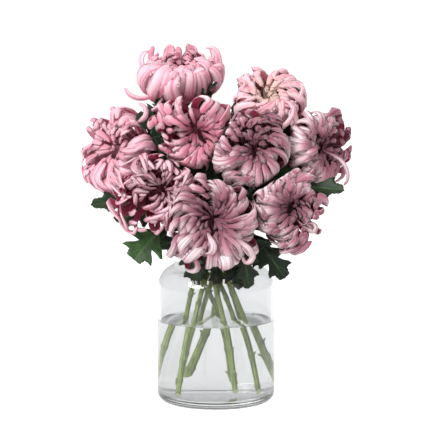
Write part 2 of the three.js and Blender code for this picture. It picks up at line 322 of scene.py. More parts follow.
def add_node(
    tree: bpy.types.NodeTree,
    kind: str,
    inputs: dict[Any, Any] | None = None,
    stops: list[tuple[float, str]] | None = None,
    out: int | str = 0,
    **settings: Any,
) -> bpy.types.NodeSocket | None:
    """Adds a shader node, sets it up and links it.

    Args:
        tree: The node tree it goes into.
        kind: Blender's name for the node's type, without "ShaderNode".
        inputs: What each input gets, by name or number: a value, or another node's output to link.
        stops: For a colour ramp, its places and hex colours in order.
        out: The output to hand back, by name or number.
        settings: The node's own settings.

    Returns:
        That output of the new node, or nothing for a node without outputs.
    """
    node = tree.nodes.new("ShaderNode" + kind)
    for name, value in settings.items():
        setattr(node, name, value)
    for name, value in (inputs or {}).items():
        if isinstance(value, bpy.types.NodeSocket):
            tree.links.new(value, node.inputs[name])
        else:
            node.inputs[name].default_value = value
    if stops:
        elements = node.color_ramp.elements
        while len(elements) < len(stops):
            elements.new(1.0)
        for element, (place, code) in zip(elements, stops):
            element.position = place
            element.color = linear(code)
    return node.outputs[out] if node.outputs else None


def new_finish(name: str) -> tuple[bpy.types.Material, Callable[..., Any]]:
    """Makes a material with an empty node tree.

    Args:
        name: The material's name.

    Returns:
        The material, and add_node for its tree.
    """
    material = bpy.data.materials.new(name)
    material.use_nodes = True
    material.node_tree.nodes.clear()
    return material, partial(add_node, material.node_tree)


# Sockets of a colour mix, which shares its names with the other kinds of mix
MIX_A = 6
MIX_B = 7
MIX_OUT = 2
COLOUR_MIX = {"data_type": "RGBA", "out": MIX_OUT}
# A ramp of u across a blade to how far it lies to each side of the rib: 2u - 1
TO_SIDES = {1: 2.0, 2: -1.0}


@dataclass(frozen=True)
class PetalFinish:
    """Chrysanthemum petals: soft matt petal skin, paler on its back, with fine darker veins along it. Part of
    the colour is painted light: a whitish highlight along the back's crest, and shade in the heart and the
    innermost layers.
    """

    name: str
    # A slot name that is handed to make_piece, which does not use it
    slot: str
    back_root: str
    back_middle: str
    # The whitish crest of the back: partly its own pale colour, partly a painted highlight where the petal
    # bends towards the light
    back_crest_highlight: str
    back_fold: str
    back_tip: str
    inner_root: str
    inner_tip: str
    vein: str
    # The colour of light that comes through the thin petal, and how much of it does
    through: str
    translucency: float
    # The heart's colour, which petals take near the axis: their own colour, and where it is darker, as on the
    # rose and mauve colourings, also painted shade deep in the bloom
    heart: str
    heart_strength: float = 0.7
    # Real veins lie under a millimetre apart. They are drawn as a few streaks to a petal, so that they show.
    streaks_across: float = 6.5
    streaks_along: float = 0.8
    # How far one step of a petal's own tone moves its streaks through the noise
    streak_step: Point = (17.3, 5.1, 9.7)
    vein_strength: float = 0.75
    vein_relief_mm: float = 2.0
    # A paler margin, this share of half the breadth wide
    margin: float = 0.36
    margin_strength: float = 0.75
    # Painted shade: how much darker the innermost layer is drawn, deep in the bloom where little light
    # reaches, up to the layer at which that ends
    inmost_shade_value: float = 0.8
    inmost_end: float = 0.6
    # How much lighter one step of a petal's own tone makes it
    tone_step: float = 0.06

    def build(self) -> bpy.types.Material:
        """Builds the material.

        Returns:
            The finished material.
        """
        material, add = new_finish(self.name)
        uv = add("UVMap", uv_map="UVMap")
        across = add("SeparateXYZ", {0: uv})
        along = across.node.outputs["Y"]
        side, tone, layer, young = [
            add("Attribute", out="Fac", attribute_name=name) for name in ("side", "tone", "layer", "young")
        ]
        # Streaks: noise drawn out along the petal, from another part of the noise on each petal
        drawn_out = add("Mapping", {"Vector": uv, "Scale": (self.streaks_across, self.streaks_along, 1.0)})
        moved = add("VectorMath", {0: tone, 1: self.streak_step, 2: drawn_out}, operation="MULTIPLY_ADD")
        streaks = add("TexNoise", {"Vector": moved, "Scale": 1.0, "Detail": 2.0, "Roughness": 0.6})
        veins = add("MapRange", {"Value": streaks, "From Min": 0.47, "From Max": 0.62})
        vein_share = add("Math", {0: veins, 1: self.vein_strength}, operation="MULTIPLY")
        # Along the back: deep root, then the whitish crest with its painted highlight, then on the darker
        # colourings a darker fold and tip towards the heart, which is partly painted shade
        back_stops = [
            (0.16, self.back_root),
            (0.4, self.back_middle),
            (0.52, self.back_crest_highlight),
            (0.68, self.back_crest_highlight),
            (0.86, self.back_fold),
            (1.0, self.back_tip),
        ]
        back = add("ValToRGB", {"Fac": along}, back_stops)
        veined = add("Mix", {0: vein_share, MIX_A: back, MIX_B: linear(self.vein)}, **COLOUR_MIX)
        inner = add("ValToRGB", {"Fac": along}, [(0.15, self.inner_root), (0.9, self.inner_tip)])
        both = add("Mix", {0: side, MIX_A: inner, MIX_B: veined}, **COLOUR_MIX)
        to_sides = add("Math", {0: across, **TO_SIDES}, operation="MULTIPLY_ADD")
        off_middle = add("Math", {0: to_sides}, operation="ABSOLUTE")
        to_edge = {"From Min": 1.0 - self.margin, "From Max": 1.0, "To Max": self.margin_strength}
        margin = add("MapRange", {"Value": off_middle, "To Min": 0.0, **to_edge})
        # The paler margin takes the crest's colour, which is partly painted highlight
        edged = add("Mix", {0: margin, MIX_A: both, MIX_B: linear(self.back_crest_highlight)}, **COLOUR_MIX)
        # Near the axis the petals turn to the heart's colour, which is partly painted shade
        heart_and_shade_share = add("Math", {0: young, 1: self.heart_strength}, operation="MULTIPLY")
        heart_and_shade_mixed = add("Mix", {0: heart_and_shade_share, MIX_A: edged, MIX_B: linear(self.heart)}, **COLOUR_MIX)
        # Painted shade: the inner layers are darkened towards the heart
        outwards = {"From Min": 0.0, "From Max": self.inmost_end, "To Min": self.inmost_shade_value, "To Max": 1.0}
        depth = add("MapRange", {"Value": layer, **outwards})
        lightness = add("Math", {0: tone, 1: self.tone_step, 2: depth}, operation="MULTIPLY_ADD")
        varied = add("HueSaturation", {"Value": lightness, "Color": heart_and_shade_mixed, "Saturation": 1.0})
        relief = {"Height": streaks, "Distance": self.vein_relief_mm * MM, "Strength": 0.6}
        skin = {
            "Base Color": varied,
            "Roughness": 0.58,
            "Normal": add("Bump", relief, invert=True),
            "Sheen Weight": 0.08,
            "Sheen Roughness": 0.4,
            "Specular IOR Level": 0.35,
        }
        # Light that comes through is halfway between the petal's own colour and one deeper pink
        lit_through = add("Mix", {0: 0.5, MIX_A: varied, MIX_B: linear(self.through)}, **COLOUR_MIX)
        glow = add("BsdfTranslucent", {"Color": lit_through})
        petal = add("MixShader", {0: self.translucency, 1: add("BsdfPrincipled", skin), 2: glow})
        add("OutputMaterial", {"Surface": petal})
        return material


@dataclass(frozen=True)
class LeafFinish:
    """Chrysanthemum leaves: leathery dark green with paler veins and a thin grey down that gives a sheen."""

    name: str = "leathery_leaf"
    dark: str = "#0a150a"
    body: str = "#1b3118"
    young: str = "#3f6b26"
    vein: str = "#557845"
    vein_strength: float = 0.4
    vein_relief_mm: float = 0.8
    # The rib's breadth as a share of the blade's, at each side
    rib_share: float = 0.13
    # Side veins on each side of the rib, and how far they slant towards the tip on their way to the edge
    side_veins: float = 5.0
    side_vein_slant: float = 0.16
    mottle_mm: float = 9.0

    def build(self) -> bpy.types.Material:
        """Builds the material.

        Returns:
            The finished material.
        """
        material, add = new_finish(self.name)
        across = add("SeparateXYZ", {0: add("UVMap", uv_map="UVMap")})
        along = across.node.outputs["Y"]
        tone = add("Attribute", out="Fac", attribute_name="tone")
        where = add("TexCoord", out="Object")
        mottle = add("TexNoise", {"Vector": where, "Scale": 1.0 / (self.mottle_mm * MM), "Detail": 4.0})
        shade = add("Math", {0: mottle, 1: 0.5, 2: tone}, operation="MULTIPLY_ADD")
        blade = add("ValToRGB", {"Fac": shade}, [(0.1, self.dark), (0.6, self.body), (1.0, self.young)])
        # How far from the rib: 0 on it, 1 at the edge
        to_sides = add("Math", {0: across, **TO_SIDES}, operation="MULTIPLY_ADD")
        off_rib = add("Math", {0: to_sides}, operation="ABSOLUTE")
        off_to_rib = {"From Min": 0.0, "From Max": self.rib_share, "To Min": 1.0, "To Max": 0.0}
        rib = add("MapRange", {"Value": off_rib, **off_to_rib})
        # Side veins leave the rib and slant towards the tip
        slant = add("Math", {0: off_rib, 1: -self.side_vein_slant, 2: along}, operation="MULTIPLY_ADD")
        turns = add("Math", {0: slant, 1: 2 * math.pi * self.side_veins}, operation="MULTIPLY")
        wave = add("Math", {0: turns}, operation="COSINE")
        crests = {"From Min": 0.9, "From Max": 1.0, "To Min": 0.0, "To Max": 0.7}
        branch = add("MapRange", {"Value": wave, **crests})
        veins = add("Math", {0: rib, 1: branch}, operation="MAXIMUM")
        vein_share = add("Math", {0: veins, 1: self.vein_strength}, operation="MULTIPLY")
        veined = add("Mix", {0: vein_share, MIX_A: blade, MIX_B: linear(self.vein)}, **COLOUR_MIX)
        height = add("Math", {0: veins, 1: -1.0, 2: mottle}, operation="MULTIPLY_ADD")
        relief = {"Height": height, "Distance": self.vein_relief_mm * MM, "Strength": 0.7}
        skin = {
            "Base Color": veined,
            "Roughness": 0.55,
            "Normal": add("Bump", relief),
            "Specular IOR Level": 0.35,
            "Sheen Weight": 0.02,
            "Sheen Roughness": 0.5,
        }
        add("OutputMaterial", {"Surface": add("BsdfPrincipled", skin)})
        return material


@dataclass(frozen=True)
class StemFinish:
    """Chrysanthemum stalks: ridged green stalk skin, browner at the joints, pale and woody where cut."""

    name: str = "ridged_stalk"
    green: str = "#4e6222"
    pale: str = "#8c9c4a"
    joint: str = "#4a5a24"
    pith: str = "#cfd3a2"
    ridges: float = 6.0
    streak_mm: float = 3.0
    # How far the streaks are squeezed upwards, so that they run along the stalk
    streak_squeeze: float = 0.15
    relief_mm: float = 0.6

    def build(self) -> bpy.types.Material:
        """Builds the material.

        Returns:
            The finished material.
        """
        material, add = new_finish(self.name)
        around = add("SeparateXYZ", {0: add("UVMap", uv_map="UVMap")})
        joint, pith = [add("Attribute", out="Fac", attribute_name=name) for name in ("joint", "pith")]
        where = add("TexCoord", out="Object")
        drawn_out = add("Mapping", {"Vector": where, "Scale": (1.0, 1.0, self.streak_squeeze)})
        streaks = add("TexNoise", {"Vector": drawn_out, "Scale": 1.0 / (self.streak_mm * MM), "Detail": 3.0})
        turns = add("Math", {0: around, 1: 2 * math.pi * self.ridges}, operation="MULTIPLY")
        ridges = add("Math", {0: turns}, operation="COSINE")
        lit = add("Math", {0: ridges, 1: 0.15, 2: streaks}, operation="MULTIPLY_ADD")
        green = add("ValToRGB", {"Fac": lit}, [(0.3, self.green), (0.75, self.pale)])
        jointed = add("Mix", {0: joint, MIX_A: green, MIX_B: linear(self.joint)}, **COLOUR_MIX)
        cut = add("Mix", {0: pith, MIX_A: jointed, MIX_B: linear(self.pith)}, **COLOUR_MIX)
        bump = add("Bump", {"Height": lit, "Distance": self.relief_mm * MM, "Strength": 0.6})
        skin = {"Base Color": cut, "Roughness": 0.45, "Normal": bump, "Sheen Weight": 0.08}
        add("OutputMaterial", {"Surface": add("BsdfPrincipled", skin)})
        return material


@dataclass(frozen=True)
class ClearFinish:
    """A clear body that bends light, through which lamps reach what stands inside it."""

    name: str
    tint: str
    ior: float
    # Slow ripples left by the mould in glass, or on a still surface in water
    ripple_mm: float
    ripple_depth_mm: float

    def build(self) -> bpy.types.Material:
        """Builds the material.

        Returns:
            The finished material.
        """
        material, add = new_finish(self.name)
        where = add("TexCoord", out="Object")
        ripple = add("TexNoise", {"Vector": where, "Scale": 1.0 / (self.ripple_mm * MM), "Detail": 1.0})
        bump = add("Bump", {"Height": ripple, "Distance": self.ripple_depth_mm * MM, "Strength": 1.0})
        body = {
            "Base Color": linear(self.tint),
            "Roughness": 0.0,
            "IOR": self.ior,
            "Transmission Weight": 1.0,
            "Normal": bump,
        }
        through = add("BsdfTransparent", {"Color": linear(self.tint)})
        shadow = add("LightPath", out="Is Shadow Ray")
        mixed = add("MixShader", {0: shadow, 1: add("BsdfPrincipled", body), 2: through})
        add("OutputMaterial", {"Surface": mixed})
        return material


# Flint glass, blown and faintly grey, and fresh water, almost without a tint
FLINT_GLASS = ClearFinish("flint_glass", "#e7e8e9", 1.5, ripple_mm=60.0, ripple_depth_mm=0.25)
FRESH_WATER = ClearFinish("fresh_water", "#fefefd", 1.333, ripple_mm=40.0, ripple_depth_mm=0.05)


@dataclass(frozen=True)
class FloorFinish:
    """The studio floor: a matt grey light table, lit from below so that it is white and its shadows pale."""

    name: str = "matt_light_table"
    low: str = "#989898"
    high: str = "#a0a0a0"
    glow: float = 0.72
    clouds_per_metre: float = 3.0

    def build(self) -> bpy.types.Material:
        """Builds the material.

        Returns:
            The finished material.
        """
        material, add = new_finish(self.name)
        where = add("TexCoord", out="Object")
        grain = add("TexNoise", {"Vector": where, "Scale": self.clouds_per_metre, "Detail": 2.0})
        table = {
            "Base Color": add("ValToRGB", {"Fac": grain}, [(0.0, self.low), (1.0, self.high)]),
            "Roughness": 0.9,
            "Emission Color": (1.0, 1.0, 1.0, 1.0),
            "Emission Strength": self.glow,
        }
        add("OutputMaterial", {"Surface": add("BsdfPrincipled", table)})
        return material


class Colouring(Enum):
    """The five colourings among the blooms, from pale to mauve."""

    PALE = PetalFinish(
        "pale_pink_petal",
        "petals_pale",
        back_root="#d85086",
        back_middle="#ea94b2",
        back_crest_highlight="#f9e4eb",
        back_fold="#f2d6de",
        back_tip="#f6dce2",
        inner_root="#fcdce6",
        inner_tip="#fff0f4",
        vein="#d86a94",
        through="#ffb4cc",
        heart="#f4a8b8",
        heart_strength=0.5,
        translucency=0.48,
    )
    PEACH_HEART = PetalFinish(
        "pale_pink_petal_peach_heart",
        "petals_pale",
        back_root="#d65c88",
        back_middle="#e690ac",
        back_crest_highlight="#fdf2f4",
        back_fold="#f6d6de",
        back_tip="#f8dedc",
        inner_root="#f0a4b8",
        inner_tip="#fad4da",
        vein="#d67090",
        through="#ffb4c6",
        heart="#f9e6d2",
        heart_strength=0.9,
        translucency=0.42,
    )
    MID = PetalFinish(
        "rose_pink_petal",
        "petals_mid",
        back_root="#b83068",
        back_middle="#ce7490",
        back_crest_highlight="#fcecf0",
        back_fold="#e4a8b8",
        back_tip="#d890a4",
        inner_root="#ca4e7a",
        inner_tip="#f0b8c8",
        vein="#c85f7e",
        through="#f088a8",
        heart="#a83c60",
        translucency=0.38,
    )
    LILAC = PetalFinish(
        "rose_pink_petal_pale_tip",
        "petals_mid",
        back_root="#a83068",
        back_middle="#bf6280",
        back_crest_highlight="#ecc4d2",
        back_fold="#fae8f0",
        back_tip="#fcf0f4",
        inner_root="#c04470",
        inner_tip="#dc88a2",
        vein="#bc6080",
        through="#ee7498",
        heart="#943a5a",
        translucency=0.42,
    )
    MAUVE = PetalFinish(
        "mauve_pink_petal",
        "petals_mauve",
        back_root="#8a2450",
        back_middle="#a0526e",
        back_crest_highlight="#fdf2f5",
        back_fold="#c896a6",
        back_tip="#a86a80",
        inner_root="#a83a60",
        inner_tip="#c47a90",
        vein="#9c4c64",
        through="#e46488",
        heart="#6e3648",
        translucency=0.38,
    )


# ---------------------------------------------------------------------------------------------------------
# Jar and water
# ---------------------------------------------------------------------------------------------------------


def arc(centre_r: float, centre_z: float, radius: float, start: float, end: float, steps: int) -> Array:
    """Points on an arc: centre + radius (cos a, sin a), for the angle a in degrees from start to end.

    Args:
        centre_r: The centre's distance from the axis.
        centre_z: The centre's height.
        radius: The arc's radius.
        start: The first angle.
        end: The last angle.
        steps: How many steps the arc is drawn in.

    Returns:
        Points of (distance from the axis, height), shape (steps + 1, 2).
    """
    angle = np.radians(np.linspace(start, end, steps + 1))
    return np.stack([centre_r + radius * np.cos(angle), centre_z + radius * np.sin(angle)], axis=-1)


# How far a turned surface's poles are pulled off the axis
POLE_RADIUS = 0.05


def turned(profile: Array, sides: int, **values: float) -> Skin:
    """Turns a profile round the Z axis: (r, z) becomes (r cos a, r sin a, z).

    The first and last points lie on the axis. They are pulled off it by a hair and closed with a small
    ring of quads, so that the surface has no pole of thin triangles.

    Args:
        profile: Points of (distance from the axis, height), going up the outside.
        sides: How many sides the circle has, an even number.
        values: The named attributes, each the same all over.

    Returns:
        The closed skin.
    """
    profile = profile.copy()
    profile[[0, -1], 0] = POLE_RADIUS
    angle = circle(sides)
    flat = profile[:, None, :1] * np.stack([np.cos(angle), np.sin(angle)], axis=-1)
    height = np.broadcast_to(profile[:, None, 1:], flat.shape[:2] + (1,))
    points = np.concatenate([flat, height], axis=-1)[None]
    u, v = np.linspace(0, 1, sides), np.linspace(0, 1, len(profile))[:, None]
    return shell_skin(points, u, v, clockwise=True, **values)


@dataclass
class Jar:
    """The clear glass jar, with a thick base, a round shoulder, a neck and a rolled lip, and its water."""

    body_r: float = 73.0
    wall: float = 4.0
    base_thickness: float = 9.0
    corner_r: float = 12.0
    shoulder_r: float = 30.0
    shoulder_z: float = 142.0
    neck_r: float = 50.0
    neck_fillet_r: float = 10.0
    lip_z: float = 206.0
    lip_r: float = 3.4
    lip_drop: float = 9.0
    water_level: float = 101.0
    # Water wets the glass: it is drawn this far into it, so that light passes from one to the other
    wetting: float = 0.2
    # The water climbs the glass by this much, over this distance from the wall
    meniscus_rise: float = 1.6
    meniscus_reach: float = 1.8
    # A ring this far under the water's edge keeps the tall wall below it shaded as upright
    edge_height: float = 0.3
    sides: int = 128

    def wall_profile(self, inset: float, floor_z: float) -> Array:
        """The wall's outline from the bottom corner to the neck, set inwards.

        Args:
            inset: How far inside the outer face the outline lies.
            floor_z: The height at which the bottom corner starts.

        Returns:
            Points of (distance from the axis, height).
        """
        corner = self.corner_r - inset
        fillet_r = self.neck_r + self.neck_fillet_r
        across = fillet_r - (self.body_r - self.shoulder_r)
        centres = self.shoulder_r + self.neck_fillet_r
        fillet_z = self.shoulder_z + math.sqrt(centres**2 - across**2)
        meeting = math.degrees(math.acos(across / centres))
        inside = self.body_r - self.corner_r
        return np.concatenate(
            [
                arc(inside, floor_z + corner, corner, -90, 0, 10),
                arc(self.body_r - self.shoulder_r, self.shoulder_z, self.shoulder_r - inset, 0, meeting, 14),
                arc(fillet_r, fillet_z, self.neck_fillet_r + inset, 180 + meeting, 180, 10)[1:],
            ]
        )

    def glass_skin(self) -> Skin:
        """The whole glass as one closed wall: up the outside, over the lip and down the inside.

        Returns:
            The glass's skin.
        """
        lip_centre = self.neck_r - self.wall + self.lip_r
        profile = np.concatenate(
            [
                [[0.0, 0.0]],
                self.wall_profile(0.0, 0.0),
                [[self.neck_r, self.lip_z - self.lip_drop]],
                arc(lip_centre, self.lip_z - self.lip_r, self.lip_r, -60, 180, 14),
                self.wall_profile(self.wall, self.base_thickness)[::-1],
                [[0.0, self.base_thickness]],
            ]
        )
        return turned(profile, self.sides)

    def water_skin(self) -> Skin:
        """The water as one closed body, whose surface climbs the glass.

        At the distance d from the wall the surface lies at z = level + rise exp(-d / reach).

        Returns:
            The water's skin.
        """
        inset = self.wall - self.wetting
        corner = self.corner_r - inset
        floor_z = self.base_thickness - self.wetting
        edge = self.body_r - inset
        r = edge - np.concatenate([np.linspace(0.0, 5.0, 12), np.linspace(8.0, edge, 8)])
        surface = self.water_level + self.meniscus_rise * np.exp(-(edge - r) / self.meniscus_reach)
        profile = np.concatenate(
            [
                [[0.0, floor_z]],
                arc(self.body_r - self.corner_r, floor_z + corner, corner, -90, 0, 10),
                [[edge, surface[0] - self.edge_height]],
                np.stack([r, surface], axis=-1),
            ]
        )
        return turned(profile, self.sides)

    def build(self, glass: bpy.types.Material, water: bpy.types.Material) -> None:
        """Makes the glass and the water in it.

        Args:
            glass: The jar's finish.
            water: The water's finish.
        """
        make_piece("jar_glass", self.glass_skin(), glass, "jar_glass", "jar")
        make_piece("jar_water", self.water_skin(), water, "water", "water")


# ---------------------------------------------------------------------------------------------------------
# Blooms
# ---------------------------------------------------------------------------------------------------------


# A petal's midline in five layers from the heart outwards, each six points of (distance from the axis,
# height along it), as shares of the radius. A folded petal arches out and dives back into the sunk heart.
FOLDED = np.array(
    [
        [(0.02, -0.12), (0.08, -0.04), (0.14, 0.04), (0.16, 0.12), (0.12, 0.17), (0.04, 0.12)],
        [(0.04, -0.20), (0.20, -0.16), (0.34, 0.00), (0.38, 0.17), (0.31, 0.27), (0.17, 0.21)],
        [(0.07, -0.32), (0.35, -0.31), (0.57, -0.02), (0.61, 0.23), (0.49, 0.36), (0.30, 0.28)],
        [(0.10, -0.42), (0.48, -0.46), (0.78, -0.10), (0.83, 0.24), (0.68, 0.43), (0.44, 0.35)],
        [(0.12, -0.50), (0.58, -0.58), (0.95, -0.22), (1.00, 0.16), (0.86, 0.42), (0.60, 0.40)],
    ]
)
# A standing petal goes up and out and only nods inwards at its tip
STANDING = np.array(
    [
        [(0.02, -0.12), (0.06, -0.02), (0.10, 0.12), (0.12, 0.26), (0.12, 0.36), (0.08, 0.40)],
        [(0.04, -0.20), (0.18, -0.14), (0.30, 0.06), (0.36, 0.26), (0.36, 0.40), (0.28, 0.46)],
        [(0.07, -0.32), (0.32, -0.28), (0.52, -0.06), (0.64, 0.18), (0.66, 0.40), (0.56, 0.50)],
        [(0.10, -0.42), (0.44, -0.40), (0.70, -0.20), (0.88, 0.06), (0.94, 0.30), (0.84, 0.44)],
        [(0.12, -0.50), (0.52, -0.52), (0.84, -0.36), (1.02, -0.10), (1.10, 0.16), (1.02, 0.34)],
    ]
)
# How far a petal stands off its place round the axis, in radians
JITTER = 0.06
# How many sides a heart or a cup is turned with
TURNED_SIDES = 24
# Places across a petal, from edge to edge
ACROSS = np.linspace(-1.0, 1.0, 5)
# Round a petal's ring, from 0 on its inner face to 1 on its back
FACE = np.array([0.5, 0.0, 0.0, 0.0, 0.5, 1.0, 1.0, 1.0])
# How much of the thickness is gone at a petal's edge
EDGE_THINNING = 0.6


def petal_points(
    middle: Array, side: Array, back: Array, half: Array, channel: Array, thickness: float
) -> Array:
    """Petals round their midlines, each a shallow channel with its back a thickness behind it.

    At x across, the inner face lies at middle + side x half - back channel x^2 half, and the back lies
    thickness (1 - 0.6 x^2) behind it.

    Args:
        middle: The midlines, shape (petals, rings, 3).
        side: The way across each petal at each ring.
        back: The way that its back looks.
        half: Half its breadth at each ring.
        channel: How deep each petal's channel is, as a share of half its breadth.
        thickness: The petals' thickness.

    Returns:
        Points of shape (petals, rings, 8, 3), going round each ring.
    """
    inner = middle[:, :, None] + side[:, :, None] * (ACROSS * half[..., None])[..., None]
    sunk = channel[:, None, None] * ACROSS**2 * half[..., None]
    inner = inner - back[:, :, None] * sunk[..., None]
    thick = thickness * (1.0 - EDGE_THINNING * ACROSS[1:-1] ** 2)
    outer = inner[:, :, 1:-1] + back[:, :, None] * thick[:, None]
    return np.concatenate([inner, outer[:, :, ::-1]], axis=2)


def petal_skin(points: Array, t: Array, tone: Array, layer: Array, young: Array) -> Skin:
    """Petals as one skin.

    Args:
        points: Points of shape (petals, rings, 8, 3).
        t: Where the rings lie along a petal.
        tone: Each petal's own shade.
        layer: How far out each petal stands, 0 to 1.
        young: How near the heart each ring lies, 1 to 0, shape (petals, rings).

    Returns:
        The skin, with the faces that look outwards and inwards told apart by the attribute side.
    """
    u = np.concatenate([ACROSS, ACROSS[1:-1][::-1]]) / 2 + 0.5
    tone, layer, young = tone[:, None, None], layer[:, None, None], young[:, :, None]
    return shell_skin(points, u, t[:, None], side=FACE, tone=tone, layer=layer, young=young)


@dataclass(frozen=True)
class PetalLie:
    """How a bloom's petals lie."""

    count: int
    breadth: float
    # From folded, 0, to standing, 1, over the whole bloom, and how much that varies
    standing: float = 0.0
    looseness: float = 0.16
    # How much neighbouring petals lean together, and how much each goes its own way, in radians
    lean: float = 0.32
    stray: float = 0.12
    # How far neighbours are drawn together into locks, in radians
    locks: float = 0.13
    # How much the reach and the height vary, as shares of the radius
    unevenness: float = 0.13
    # How much the length past the crest varies, as a share of it
    tip_change: float = 0.3
    roll: float = 0.5
    # How deep a petal's channel is, as a share of half its breadth
    channel: float = 0.45


class Lie(Enum):
    """The ways in which the petals of these blooms lie."""

    RIBBON = PetalLie(count=122, breadth=12.6, stray=0.18, locks=0.15, channel=0.36)
    NARROW_RIBBON = PetalLie(
        count=150, breadth=10.4, looseness=0.12, lean=0.3, stray=0.16, locks=0.12, channel=0.42
    )
    STRAP = PetalLie(count=116, breadth=10.6, looseness=0.2, stray=0.2, channel=0.36)
    QUILL = PetalLie(
        count=140, breadth=8.8, standing=0.12, looseness=0.3, lean=0.4, stray=0.24, roll=0.7, channel=0.6
    )
    BOWL = PetalLie(
        count=90, breadth=21.0, looseness=0.14, lean=0.2, locks=0.08, unevenness=0.13, roll=0.25, channel=0.35
    )


@dataclass(frozen=True)
class Stray:
    """A petal that goes its own way: the points it passes through, and where its back looks along it."""

    line: Sequence[Point | Array]
    back: Point | Array
    back_at_tip: Point | Array
    breadth: float = 9.0
    channel: float = 0.35
    tone: float = 0.5


@dataclass
class Bloom:
    """One bloom: petals by the golden angle round a heart, curving over its face."""

    number: int
    at: Point
    face: Point
    radius: float
    lie: Lie
    colouring: Colouring
    # The side on which the petals stand rather than fold, how much, and from which layer outwards
    open_way: Point = (0.0, 0.0, 1.0)
    open_share: float = 0.0
    open_from: float = 0.45
    # How much narrower and deeper the petals that stand are, the steps that their tone changes by, where a
    # minus darkens them as painted shade, and how much shorter they are
    open_narrow: float = 0.45
    open_shade_tone: float = 0.0
    open_short: float = 0.0
    # Where the petals look, if they have turned from the way of the cup, and how far the flower leans off it
    gaze: Point | None = None
    offset: Point = (0.0, 0.0, 0.0)
    # Where the heart sits on the face, to the right and up, as shares of the radius
    heart_at: tuple[float, float] = (0.0, 0.0)
    # How far all petals lean the same way round, in radians at their tips
    whirl: float = 0.25
    # The outline's height as a share of its breadth
    tall: float = 1.0
    strays: tuple[Stray, ...] = ()

    golden_angle: float = math.pi * (3.0 - math.sqrt(5.0))
    # Petal i of n stands ((i + 0.5) / n) to this power of the way out
    packing: float = 0.68
    petal_thickness: float = 0.7
    # The petals' breadths and the depths of their channels lie between these shares of the usual one
    width_range: tuple[float, float] = (0.7, 1.32)
    channel_range: tuple[float, float] = (0.4, 1.6)
    # The outer petals reach past the radius of the solids, whose petals are fewer and stiffer
    spread: float = 1.1
    # Between which shares of that reach the petals end
    reach_limits: tuple[float, float] = (0.74, 1.04)
    # A stray petal takes its colours from this stretch of a petal's length
    stray_shades: tuple[float, float] = (0.36, 0.86)
    # The heart's colour, partly painted shade, fades out this far from the axis, as a share of the radius
    heart_share: float = 0.62
    # Where the rings of a petal lie along it, closer together at the tip, and its breadth at each
    rings: tuple[float, ...] = (0.0, 0.13, 0.25, 0.37, 0.48, 0.58, 0.68, 0.77, 0.85, 0.92, 0.97, 1.0)
    breadth_keys: tuple[float, ...] = (0.0, 0.2, 0.42, 0.6, 0.78, 0.9, 0.97, 1.0)
    breadth_shares: tuple[float, ...] = (0.4, 0.76, 1.0, 1.0, 0.95, 0.82, 0.58, 0.2)
    # Soft planes keep neighbouring blooms this far apart, as in the solids
    gap: float = 1.0
    soft_edge: float = 8.0
    box_edge: float = 5.0
    core_profile: tuple[tuple[float, float], ...] = (
        (0.0, -0.58),
        (0.2, -0.58),
        (0.4, -0.46),
        (0.48, -0.32),
        (0.4, -0.22),
        (0.24, -0.15),
        (0.0, -0.1),
    )

    @property
    def centre(self) -> Array:
        """The middle of the bloom."""
        return np.array(self.at, float)

    @property
    def heart_centre(self) -> Array:
        """The point on which the petals converge.

        Returns:
            The point, in the object's own millimetres.
        """
        across, up, _ = self.petal_axes()
        to_heart = (across * self.heart_at[0] + up * self.heart_at[1]) * self.radius
        return self.centre + np.array(self.offset) + to_heart

    def axes(self) -> Array:
        """The cup's directions: across, up, and the axis that its face looks along."""
        return facing(self.face)

    def petal_axes(self) -> Array:
        """The same directions for the petals, which may have turned from the cup's way."""
        return facing(self.gaze or self.face)

    def opening(self, azimuth: Array, layer: Array) -> Array:
        """How far each petal stands rather than folds, on the side where the bloom is open.

        With o the way that a petal points and w the open way, it is the open share times
        smooth(0.3 + 0.8 o.w), and it fades in from the open_from layer outwards.

        Args:
            azimuth: Each petal's direction round the axis.
            layer: How far out each petal stands, 0 to 1.

        Returns:
            One share for each petal.
        """
        across, up, _ = self.petal_axes()
        out = np.cos(azimuth)[:, None] * across + np.sin(azimuth)[:, None] * up
        towards = smooth(0.3 + 0.8 * out @ unit(np.array(self.open_way, float)))
        return towards * self.open_share * smooth((layer - self.open_from) / 0.4)

    def drift(self, rng: np.random.Generator, azimuth: Array, layer: Array) -> Array:
        """A value that changes slowly from petal to petal, so that neighbours go together.

        It is the sum of cos(m azimuth + phase + slope layer) / sqrt(m) for m = 1 to 5, each with its own
        drawn phase and slope, scaled to a spread of about one.

        Args:
            rng: Where the phases and slopes are drawn from.
            azimuth: Each petal's direction round the axis.
            layer: How far out each petal stands, 0 to 1.

        Returns:
            One value for each petal.
        """
        orders = np.arange(1, 6)[:, None]
        phase = rng.uniform(0, 2 * np.pi, (5, 1))
        slope = rng.normal(0.0, 4.0, (5, 1))
        waves = np.cos(orders * azimuth + phase + slope * layer) / np.sqrt(orders)
        return waves.sum(axis=0) / 1.07

    def keep_own_space(self, points: Array, others: list["Bloom"]) -> Array:
        """Keeps points on this bloom's side of the plane between it and each neighbour.

        The plane stands square to the way between the centres, (d^2 + r^2 - other r^2) / (2 d) along it, less
        half the gap. The soft edge starts its own depth before the plane.

        Args:
            points: Any array of points.
            others: The other blooms.

        Returns:
            The moved points.
        """
        for other in others:
            way = other.centre - self.centre
            distance = float(np.linalg.norm(way))
            way /= distance
            limit = (distance**2 + self.radius**2 - other.radius**2) / (2 * distance) - self.gap / 2
            past = (points - self.centre) @ way - (limit - self.soft_edge)
            points = points + held_back(past, self.soft_edge)[..., None] * way
        return points

    def keep_in_box(self, points: Array) -> Array:
        """Keeps points inside the solids' box, with a soft edge as between blooms.

        Args:
            points: Any array of points.

        Returns:
            The moved points.
        """
        for way, limit in ((1.0, CAD_BOX[1]), (-1.0, CAD_BOX[0])):
            edge = np.array(limit) * way / MM - self.box_edge
            points = points + held_back(points * way - edge, self.box_edge) * way
        return points

